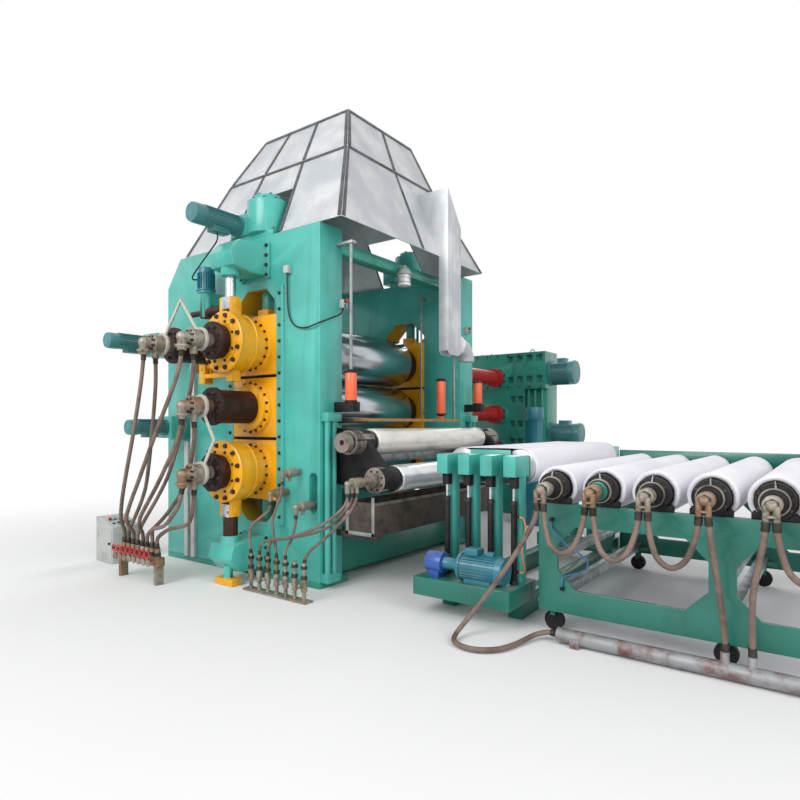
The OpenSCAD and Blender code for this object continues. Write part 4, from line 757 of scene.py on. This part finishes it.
for node in coolers:
    small += [stand((axisOf[node].x + reach, pedestal["y"], plinthHigh + pedestal["up"]))
              for reach in (-pedestal["x"], pedestal["x"])]
    small += ringOf(onAxis(node, feet["bearing"]["y"]), feet["bearing"]["radius"], 6, near)
bolted("plateBolts", 0.028, places)
bolted("bearingBolts", 0.017, small)
bolted("anchorNuts", 0.058, anchors)
reducerLow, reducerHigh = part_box("reducer_upper")
flanges = {"y": 3.946, "x": (-1.62, 0.76), "z": (2.165, 2.705)}
places = [place for z in flanges["z"]
          for place in rowOf(*[(x, flanges["y"], z) for x in flanges["x"]], 13, near)]
for roll in rolls:
    places += ringOf(onAxis(roll, reducerLow.y), 0.148, 8, near)
bolted("reducerBolts", 0.026, places)

# Cooling fins and fan cowls of the motors: foot of the fins, way to the fan, radius, fins, cowl, box side
motors = [
    ("crossDriveMotor", (-0.58, -1.61, 2.935), up, 0.08, 0.17, 0.056, (-1, 0, 0), "blue"),
    ("transferMotor", (2.39, -1.371, 0.42), (1, 0, 0), 0.1, 0.298, 0.058, down, "blue"),
    ("pumpMotor", (0.936, 3.274, 1.022), up, 0.125, 0.57, 0.0, (1, 0, 0), "blue"),
    ("upperReducerMotor", (0.872, 4.22, 2.39), (1, 0, 0), 0.19, 0.296, 0.098, up, "teal"),
    ("lowerReducerMotor", (0.872, 4.22, 1.38), (1, 0, 0), 0.165, 0.366, 0.118, up, "teal"),
]
for side, tag in zip(sides, ("Near", "Far")):
    out = (0, side, 0)
    motors += [
        ("screwMotor" + tag, (-0.274, side * 1.476, 3.584), out, 0.095, 0.402, 0.124, down, "teal"),
        ("upperWormMotor" + tag, (-1.226, side * 1.882, 2.386), out, 0.078, 0.339, 0.106, down, "teal"),
        ("lowerWormMotor" + tag, (-1.248, side * 1.691, 1.5), out, 0.078, 0.305, 0.097, down, "teal"),
    ]
finPlate = block((0, 0, 0), (0.012, 0.004, 1.0), "teal")
choose(finPlate, lambda at, out: out.x > 0.5)
bpy.ops.transform.resize(value=(1.0, 0.45, 0.97))
mode("OBJECT")
for name, foot, way, radius, finLong, cowlLong, boxSide, paint in motors:
    base = stand(foot, way)
    count = max(22, int(radius * 290))
    turns = [base @ Matrix.Rotation(math.tau * k / count, 4, "Z") for k in range(count)]
    turns = [turn for turn in turns if (turn.to_3x3() @ Vector((1, 0, 0))).dot(Vector(boxSide)) < 0.74]
    coloured(finPlate, paint)
    size = moved((radius + 0.0045, 0, finLong / 2)) @ Matrix.Diagonal((1, 1, finLong, 1))
    fins = [twin(finPlate, turn @ size) for turn in turns]
    if cowlLong:
        steps = [(1.05, 0), (1.05, cowlLong * 0.75), (0.98, cowlLong), (0.8, cowlLong)]
        for share in (0.78, 0.62, 0.46):
            steps += [(share, cowlLong - 0.004), (share - 0.08, cowlLong - 0.004), (share - 0.1, cowlLong)]
        cowl = turned([(radius * share, height) for share, height in steps], 28, paint)
        fins.append(put(cowl, base @ moved((0, 0, finLong))))
    mounted(joined(fins, name + "Fins"))
removed(finPlate)

# Cloth-covered rollers: a drum with its journals, and a sleeve tucked in at both ends
sleeve = {"tuck": 0.034, "edge": 0.012, "around": 56, "wrinkle": 0.0022, "rows": 14}


# A cloth from rows of points: a belt closes from its last row to its first, a sleeve within each row
def woven(name, points, wide, belt, paint, thickness):
    rows = len(points) // wide
    faces = []
    for row in range(rows if belt else rows - 1):
        for k in range(wide - 1 if belt else wide):
            after, beside = (row + 1) % rows, (k + 1) % wide
            a, b, c, d = row * wide + k, row * wide + beside, after * wide + beside, after * wide + k
            faces.append((a, d, c, b) if belt else (a, b, c, d))
    mesh = bpy.data.meshes.new(name)
    mesh.from_pydata(points, [], faces)
    piece = coloured(linked(name, mesh), paint)
    pick(piece)
    bpy.ops.object.shade_smooth()
    return modified(piece, "SOLIDIFY", thickness=thickness, offset=-1.0)


def clothSleeve(name, radius, low, high, paint, seed):
    tuck, edge = sleeve["tuck"], sleeve["edge"]
    start = [(radius - tuck, 0.006), (radius - tuck * 0.6, 0.001), (radius - edge, 0.0),
             (radius - edge * 0.3, edge * 0.3), (radius, edge)]
    rings = [(r, low + d) for r, d in start]
    rings += [(radius, low + edge + (high - low - 2 * edge) * k / sleeve["rows"])
              for k in range(1, sleeve["rows"])]
    rings += [(r, high - d) for r, d in reversed(start)]
    count = sleeve["around"]
    points = []
    for r, y in rings:
        hem = max(0.0, 1 - min(y - low, high - y) / 0.1)  # 1 at an end, 0 from 0.1 inwards
        for k in range(count):
            a = math.tau * k / count
            wave = noise.noise(Vector((math.sin(a) * 2.6, y * 3 + seed, math.cos(a) * 2.6)))
            grown = r + sleeve["wrinkle"] * wave * (0.35 + hem)
            points.append((grown * math.sin(a), y + hem * 0.004 * wave, grown * math.cos(a)))
    return woven(name, points, count, False, paint, 0.003)


def coveredRoller(node, template, cover, radius, long):
    place = moved(onAxis(node, 0))
    drum = twin(template, place)
    drum.name = node + "_drum"
    mounted(drum, node, [node])
    mounted(put(cover, place), node, [node])
    math.tau * radius
    long + 2 * sleeve["tuck"]


alongY = stand((0, 0, 0), far)
cool = {"radius": 0.1525, "low": -1.2, "high": 1.17, "neck": 0.032, "front": -1.345, "back": 1.248}
neck, low, high = cool["neck"], cool["low"], cool["high"]
drum = put(turned([(neck, cool["front"]), (neck, low + 0.013), (cool["radius"] - 0.03, low + 0.013),
                   (cool["radius"] - 0.006, low + 0.016), (cool["radius"] - 0.006, high - 0.01),
                   (neck, high - 0.008), (neck, cool["back"])], 32, "iron"), alongY)
for number, node in enumerate(coolers, 1):
    cover = clothSleeve(node + "_cloth", cool["radius"], low, high, "cloth", number * 7.3)
    coveredRoller(node, drum, cover, cool["radius"], high - low)
removed(drum)
guide = {
    "upper_guide_roller": {"hub": 0.092, "bore": 0.026, "paint": "canvas"},
    "lower_guide_roller": {"hub": 0.044, "bore": 0.016, "paint": "foil"},
}
guideDrum = {"neck": 0.055, "radius": 0.125, "face": 1.04}
for node, size in guide.items():
    end = -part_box(node)[0].y
    neck, radius, face = guideDrum["neck"], guideDrum["radius"], guideDrum["face"]
    steps = [(size["bore"], -end + 0.06), (size["bore"], -end), (size["hub"], -end),
             (size["hub"], -end + 0.062), (neck, -end + 0.063), (neck, -face + 0.008),
             (radius - 0.03, -face + 0.008), (radius - 0.005, -face + 0.012)]
    drum = put(turned(steps + [(r, -y) for r, y in reversed(steps)], 32, "worn"), alongY)
    cover = clothSleeve(node + "_cover", radius, -face, face, size["paint"], 3.0 + radius)
    coveredRoller(node, drum, cover, radius, 2 * face)
    removed(drum)

# The transfer apron: one loop of white belt round its two rollers, slack below
apron = {"radius": 0.1425, "edge": 1.05, "around": 20, "across": 36, "slack": 0.01, "ripple": 0.0018}
front, rear = axisOf["apron_front_roller"], axisOf["apron_rear_roller"]
loop = []  # x, z and how far the belt hangs there
for here, there, start in ((front, rear, 0), (rear, front, 1)):  # round a roller, then on to the next
    for k in range(apron["around"] + 1):
        a = math.pi * (start + k / apron["around"])
        loop.append((here.x + apron["radius"] * math.sin(a), here.z + apron["radius"] * math.cos(a), 0.0))
    drop = (2 * start - 1) * apron["radius"]
    for k in range(1, 12):
        t = k / 12
        loop.append((here.x + (there.x - here.x) * t, front.z + drop, (1 - start) * math.sin(math.pi * t)))
points = []
across = apron["across"]
for x, z, hang in loop:
    for k in range(across + 1):
        y = apron["edge"] * (2 * k / across - 1)
        wave = noise.noise(Vector((x * 5, y * 2.4, z * 5))) * apron["ripple"] * (1 + 2 * abs(y) ** 4)
        out = Vector((x - (front.x + rear.x) / 2, z - front.z)).normalized()
        points.append((x + out.x * wave, y + wave * 2, z + out.y * wave - hang * apron["slack"]))
belt = mounted(woven("apronCloth", points, across + 1, True, "cloth", 0.004), plant,
               ["apron_belt"])

# Collars, ports and bolts of the rotary unions
union = {"long": 0.3047, "bolt": 0.016}
collar = turned([(0.086, 0), (0.094, 0.002), (0.094, 0.016), (0.086, 0.018)], 32, "brass")
cap = turned([(0.05, 0), (0.062, 0.003), (0.062, 0.02), (0.052, 0.024), (0.052, 0.03)], 28, "brass")
gland = turned([(0.056, 0), (0.056, 0.022), (0.05, 0.026)], 6, "bolt")
collars, caps, glands, places = [], [], [], []
for roll in rolls:
    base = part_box(roll)[0].y
    x, z = axisOf[roll].x, axisOf[roll].z
    collars += [stand((x, base - union["long"] * share, z), near) for share in (0.3, 0.69)]
    glands.append(stand((x, base - union["long"] * 0.755, z), near))
    caps.append(stand((x, base - union["long"], z - 0.068), down))
    places += ringOf((x, base - union["long"] * 0.75, z), 0.068, 8, near)
assembly("unionCollars", [(collar, collars), (cap, caps), (gland, glands)])
bolted("unionBolts", union["bolt"], places)

# Clamps, hubs and ports at the near ends of the cooling rollers
clamp = {"lever": (0.012, 0.01, 0.046), "up": 0.103, "front": -1.284, "hub": -1.32, "nut": -1.475}
band = turned([(0.077, 0), (0.085, 0.002), (0.085, 0.026), (0.077, 0.028)], 32, "worn")
hub = turned([(0.058, 0), (0.066, 0.003), (0.066, 0.018), (0.054, 0.021)], 28, "iron")
# One hub in the darker copy of the green paint, which paints shade
greenHub = coloured(twin(hub, Matrix.Identity(4)), "shadedLineGreen")
nut = turned([(0.04, 0), (0.04, 0.02), (0.036, 0.023)], 6, "bolt")
elbowBead = turned([(0.034, 0), (0.038, 0.003), (0.038, 0.012), (0.034, 0.015)], 20, "brass")
lever = block((0, 0, 0), clamp["lever"], "steel")
choose(lever, lambda at, out: out.z > 0.5)
bpy.ops.transform.resize(value=(0.55, 0.8, 1.0))
bpy.ops.mesh.extrude_region_move(TRANSFORM_OT_translate={"value": (0.004, -0.008, 0.012)})
mode("OBJECT")
modified(lever, "BEVEL", width=0.002, segments=2)
bands, hubs, nuts = ([stand(onAxis(node, clamp[key]), near) for node in coolers]
                     for key in ("front", "hub", "nut"))
beads = [stand((axisOf[node].x, -cooling["unionEnd"], axisOf[node].z - 0.05), down) for node in coolers]
levers = [moved((axisOf[node].x + 0.004, clamp["front"] - 0.014, axisOf[node].z + clamp["up"]))
          @ Matrix.Rotation(0.2 * math.sin(number * 2.4), 4, "Y") for number, node in enumerate(coolers, 1)]
assembly("rollerClamps", [(band, bands), (lever, levers), (nut, nuts)])
assembly("rollerHubs", [(hub, hubs[:1] + hubs[2:]), (greenHub, hubs[1:2])])
assembly("elbowBeads", [(elbowBead, beads)])

# Valves and standpipes
valve = {"count": 8, "pitch": 0.084, "x": -1.09, "y": -2.214, "nut": 0.27}
handWheel = {"y": -2.324, "z": 0.3, "radius": 0.037, "rim": 0.0055}
stem = {"count": 7, "pitch": 0.115, "x": 0.36, "y": -1.8, "nuts": (0.2, 0.285)}
rim = torus(handWheel["radius"], handWheel["rim"], 24, 8, "red")
spoke = turned([(0.004, -0.036), (0.004, 0.036)], 6, "red")
boss = turned([(0.012, -0.006), (0.012, 0.01), (0.008, 0.014)], 12, "bolt")
spokes = [twin(spoke, Matrix.Rotation(math.pi / 2, 4, axis)) for axis in "XY"]
wheel = joined([rim, boss] + spokes, "wheelTemplate")
nut = turned([(0.036, 0), (0.036, 0.03), (0.032, 0.033)], 6, "bolt")
collarNut = turned([(0.03, 0), (0.03, 0.026), (0.026, 0.03)], 6, "bolt")
valveX = [valve["x"] + k * valve["pitch"] for k in range(valve["count"])]
assembly("valveWheels", [(wheel, [stand((x, handWheel["y"], handWheel["z"]), near) for x in valveX])])
assembly("valveNuts", [
    (nut, [stand((x, valve["y"], valve["nut"])) for x in valveX]),
    (collarNut, [stand((stem["x"] + k * stem["pitch"], stem["y"], z))
                 for k in range(stem["count"]) for z in stem["nuts"]])])
removed(spoke)

# Push buttons, the console's panel and door
buttonSeat = turned([(0.017, 0), (0.017, 0.004), (0.013, 0.006)], 20, "iron")
mushroom = turned([(0.01, 0), (0.01, 0.008), (0.02, 0.011), (0.021, 0.018), (0.015, 0.023), (0.004, 0.024)],
                  20, "red")
greenKnob = turned([(0.009, 0), (0.01, 0.002), (0.01, 0.01), (0.008, 0.012)], 16, "green")
boxX = 0.9352
panel = {"middle": Vector((-1.775, -1.89, 0.4465)), "out": Vector((0.093, 0, 0.25)).normalized(),
         "down": Vector((0.25, 0, -0.093)).normalized(), "pitch": 0.06, "rows": 0.09}
parts = []
for row in (0, 1):
    for column in range(4):
        at = panel["middle"] + panel["down"] * panel["rows"] * (row - 0.5)
        at += Vector((0, (column - 1.5) * panel["pitch"], 0))
        shape = [mushroom, greenKnob, greenKnob, buttonSeat][(column + row * 2) % 4]
        parts.append((at, panel["out"], shape))
for y, z in ((-1.135, 2.715), (1.25, 2.755)):  # a red and a green button on each frame's box
    for shape, lower in ((mushroom, 0), (greenKnob, 0.047)):
        parts.append((Vector((boxX, y, z - lower)), Vector((1, 0, 0)), shape))
made = []
for at, out, shape in parts:
    made += [twin(buttonSeat, stand(at, out)), twin(shape, stand(at + out * 0.005, out))]
mounted(joined(made, "pushButtons"))
removed(buttonSeat, mushroom, greenKnob)
door = block((-1.81, -2.0425, 0.21), (0.29, 0.005, 0.33), "grey")
choose(door, lambda at, out: out.y < -0.5)
bpy.ops.mesh.inset(thickness=0.012, depth=0.0)
bpy.ops.mesh.inset(thickness=0.003, depth=-0.002)
mode("OBJECT")
knob = turned([(0.01, 0), (0.01, 0.01), (0.014, 0.014), (0.01, 0.02)], 16, "bolt")
put(knob, stand((-1.70, -2.045, 0.22), near))
mounted(joined([door, knob], "consoleDoor"))

# Lamp cage, cylinder caps, jack glands
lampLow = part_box("work_lamp")[0]
lampAt = Vector((0.94, -0.173, lampLow.z))
cage = [torus(radius, 0.0028, 28, 6, "steel", lampAt + Vector((0, 0, height)))
        for height, radius in ((-0.006, 0.05), (0.03, 0.074), (0.08, 0.07), (0.118, 0.066))]
wire = turned([(0.0026, 0), (0.0026, 0.124)], 6, "steel")
wires = [moved(lampAt) @ Matrix.Rotation(math.tau * k / 6, 4, "Z") @ moved((0.073, 0, -0.004))
         for k in range(6)]
assembly("lampCage", [(wire, wires)], shapes=cage)
cylinders = {"x": 1.048, "ends": [(-1.184, 1.742, 2.027), (1.27, 1.782, 2.067), (0.4, 1.64, 2.04)]}
endCap = turned([(0.052, 0), (0.06, 0.002), (0.06, 0.024), (0.04, 0.028), (0.03, 0.04)], 28, "iron")
caps = []
for y, low, high in cylinders["ends"]:
    caps += [stand((cylinders["x"], y, z), out) @ Matrix.Diagonal((1, 1, 0.8, 1))
             for z, out in ((high - 0.012, up), (low + 0.016, down))]
ringNut = turned([(0.025, 0), (0.03, 0.002), (0.03, 0.03), (0.016, 0.034)], 20, "bolt")
jack = {"x": 2.146, "pitch": 0.2, "y": 1.236, "heights": (0.91, 0.302)}
glands = [stand((jack["x"] + jack["pitch"] * k, side * jack["y"], z))
          for z in jack["heights"] for k in range(4) for side in sides]
assembly("cylinderCaps", [(endCap, caps), (ringNut, glands)])

# Lips on the bending drums, and dark bands behind the rings: painted shadow in the gaps, with some grease
drumRing = {"front": 1.824, "back": 1.647, "greaseAndShadow": 1.596}
lip = turned([(0.284, 0), (0.295, 0.004), (0.295, 0.026), (0.284, 0.034)], 64, "yellow")
backLip = turned([(0.284, 0), (0.291, 0.003), (0.291, 0.02), (0.284, 0.024)], 64, "yellow")
# A dark band on each drum behind its ring: painted shadow in the gap, with some grease
greaseAndShadow = turned([(0.23, 0), (0.2335, 0.003), (0.2335, 0.043), (0.23, 0.046)], 64, "shadowYellow")
lips, backLips, bands = ([stand(onAxis(roll, side * drumRing[key]), (0, side, 0)) for side in sides
                          for roll in bentRolls] for key in drumRing)
assembly("drumLips", [(lip, lips), (backLip, backLips)])
assembly("drumShadowBands", [(greaseAndShadow, bands)])


def plate(low, high, paint, inset=0.0, rise=0.0, bevel=0.002):  # a bevelled box between two corners
    low, high = Vector(low), Vector(high)
    piece = block((low + high) / 2, high - low, paint)
    if inset:
        choose(piece, lambda at, out: out.z > 0.5)
        bpy.ops.mesh.inset(thickness=inset, depth=0.0)
        bpy.ops.mesh.extrude_region_move(TRANSFORM_OT_translate={"value": (0, 0, rise)})
        mode("OBJECT")
    return softened(modified(piece, "BEVEL", width=bevel, segments=2))


# Steel angles on the drip tray
tray = {"x": (1.104, 1.44), "y": (-1.318, 0.922), "z": (0.526, 0.829)}
angle = {"wide": 0.034, "thick": 0.005, "rim": 0.028, "above": 0.05}
(x0, x1), (y0, y1), (z0, z1) = tray["x"], tray["y"], tray["z"]
wide, thick = angle["wide"], angle["thick"]
corners = [((x, y0 - thick, z0), (x + wide, y0, z1 + angle["above"])) for x in (x0, x1 - wide)]
corners.append(((x0, y0 - thick, z0), (x1, y0, z0 + wide)))
angles = [plate(low, high, "galvanised") for low, high in corners]
angles += [plate((x, y0, z1 - angle["rim"]), (x + thick, y1, z1), "worn") for x in (x0 - thick, x1)]
mounted(joined(angles, "trayAngles"))

# Terminal boxes on the transfer motor
boxes = [plate((2.415, -1.425, 0.517), (2.53, -1.317, 0.566), "blue", 0.006, 0.006, 0.003),
         plate((2.585, -1.4, 0.517), (2.65, -1.342, 0.55), "blue", 0.005, 0.004, 0.003)]
mounted(joined(boxes, "terminalBoxes"))

# Side plates of the apron between its rollers, each on two stubs to the posts
shield = {"x": (2.27, 2.64), "y": 1.068, "thick": 0.004, "z": (-0.1, 0.128), "posts": (2.346, 2.546)}
stub = turned([(0.012, 0), (0.012, 0.022)], 16, "bolt")
shields, stubs = [], []
for side in sides:
    y = sorted((side * shield["y"], side * (shield["y"] + shield["thick"])))
    low, high = ((shield["x"][k], y[k], front.z + shield["z"][k]) for k in (0, 1))
    shields.append(plate(low, high, "green"))
    stubs += [stand((x, side * (shield["y"] + 0.003), front.z - 0.04), (0, side, 0))
              for x in shield["posts"]]
assembly("apronShields", [(stub, stubs)], shapes=shields)

# Lid and lifting eyes of the reducer
top = reducerHigh.z
lid = plate((-0.62, 4.03, top - 0.001), (-0.18, 4.38, top + 0.014), "darkGreen", 0.03, 0.006, 0.003)
eye = torus(0.034, 0.009, 24, 10, "darkGreen", turn=(math.pi / 2, 0, 0))
eyes = [moved((x, 4.2, top + 0.036)) for x in (-1.3, 0.5)]
assembly("reducerLid", [(eye, eyes)], shapes=[lid])
bolted("reducerLidBolts", 0.018,
       [stand((x, y, top + 0.014)) for x in (-0.606, -0.4, -0.194) for y in (4.044, 4.366)])

# Bearing covers in the recessed back wall, with their bolts below the rim
backWall = {"deep": 0.022, "rim": 0.07, "end": 4.461, "bolt": 0.012, "cover": 0.0125}
covers, coverBolts = [], []
for roll, radius in zip(rolls, (0.17, 0.17, 0.112, 0.112)):
    foot = onAxis(roll, backWall["end"] - backWall["deep"])
    shape = turned([(radius, 0), (radius, 0.01), (radius - 0.006, backWall["cover"]),
                    (radius * 0.45, backWall["cover"]), (radius * 0.4, 0.009)], 40, "darkGreen")
    covers.append(put(shape, stand(foot, far)))
    coverBolts += ringOf(onAxis(roll, foot[1] + backWall["cover"]), radius - 0.022, 8, far)
mounted(joined(covers, "reducerCovers"))
bolted("reducerCoverBolts", backWall["bolt"], coverBolts)

# Lid, filler and level glass of the hydraulic tank
tank = Vector((0.936, 3.274, 0.98))  # the middle of its top
lid = plate(tank - Vector((0.252, 0.272, 0.002)), tank + Vector((0.252, 0.272, 0.012)), "blue")
filler = turned([(0.03, 0), (0.034, 0.004), (0.034, 0.03), (0.042, 0.034), (0.042, 0.062), (0.036, 0.068)],
                24, "bolt")
put(filler, stand(tank + Vector((0.2, -0.2, 0.01))))
gauge = plate(tank + Vector((0.239, -0.02, -0.43)), tank + Vector((0.256, 0.02, -0.2)), "bolt")
mounted(joined([lid, filler, gauge], "tankFittings"))

# Spacers between the roll housings
spacer = Vector((0.3, 0.14, 0.013))
spacers = [plate(Vector((0, side * 1.28, z)) - spacer, Vector((0, side * 1.28, z)) + spacer, "iron")
           for side in sides for z in (1.39, 2.01)]
mounted(joined(spacers, "housingSpacers"))


def skinned(node, width, sharp=32):  # the CAD node with its edges rounded and its facets smoothed
    piece = linked(node + "_skin", frame["nodes"][node].data.copy())
    pick(piece)
    mode("EDIT")
    bpy.ops.mesh.select_all(action="SELECT")
    bpy.ops.mesh.remove_doubles(threshold=0.00002)
    bpy.ops.mesh.dissolve_limited(angle_limit=math.radians(1.0))
    mode("OBJECT")
    modified(piece, "BEVEL", width=width, segments=2, limit_method="ANGLE", angle_limit=math.radians(sharp))
    return mounted(softened(piece, sharp), bodyOf[node], [node])


skins = {node: skinned(node, width) for paint, width, nodes in looks if width for node in nodes.split()}

# The reducer's back and end walls are set in behind a rim
for node in ("reducer_lower", "reducer_upper"):
    for towards in (Vector((0, 1, 0)), Vector((-1, 0, 0))):
        edge = max(corner.co.dot(towards) for corner in skins[node].data.vertices)
        choose(skins[node], lambda at, out: out.dot(towards) > 0.99 and at.dot(towards) > edge - 0.002)
        bpy.ops.mesh.inset(thickness=backWall["rim"], depth=0.0)
        bpy.ops.mesh.inset(thickness=0.008, depth=-backWall["deep"])
        mode("OBJECT")
    softened(skins[node], 32)


def inWindow(at, out):  # the frame's wall round its roll windows, inside its faces
    return abs(out.y) < 0.5 and -1.0 < at.x < 0.34 and 0.54 < at.z < 2.9 and abs(at.y) < 1.425


# Second colours on single solids: the faces that pass take the other paint
secondColours = [
    ("operator_side_frame", "olive", inWindow),
    ("drive_side_frame", "olive", inWindow),
    ("bending_brackets", "yellow", lambda at, out: at.z < 0.066 and abs(at.y) > 1.7),
    ("bending_brackets", "iron", lambda at, out: 0.066 < at.z < 0.11 and abs(at.y) > 1.7),
    ("bending_spindles", "rust", lambda at, out: at.z < 0.66),
    ("side_adjusters", "rust", lambda at, out: at.y < -1.56 and 2.62 < at.z < 2.76),
    ("adjusting_motors", "blue", lambda at, out: -0.7 < at.x < -0.45),
    ("lifting_jacks", "chrome", lambda at, out: 0.932 < at.z < 1.037 and abs(out.z) < 0.5),
    ("work_lamp", "globe", lambda at, out: at.z < lampLow.z + 0.119),
    ("transfer_motor", "deepBlue", lambda at, out: at.x < 2.21),
    ("guide_bearings", "worn", lambda at, out: abs(at.y) > 1.224 and at.x > 1.0),
    ("cooling_ties", "iron", lambda at, out: at.z < 0.146),
    # A band of the ties in the darker copy of the green paint, as painted shade
    ("cooling_ties", "shadedLineGreen", lambda at, out: 0.146 <= at.z < 0.231),
    ("lift_rods", "iron", lambda at, out: at.z < 1.83 and (at.y < -1.0 or at.y > 1.2)),
]
for node, paint, test in secondColours:
    mesh = skins[node].data
    mesh.materials.append(paints[paint])
    for face in mesh.polygons:
        if test(face.center, face.normal):
            face.material_index = len(mesh.materials) - 1
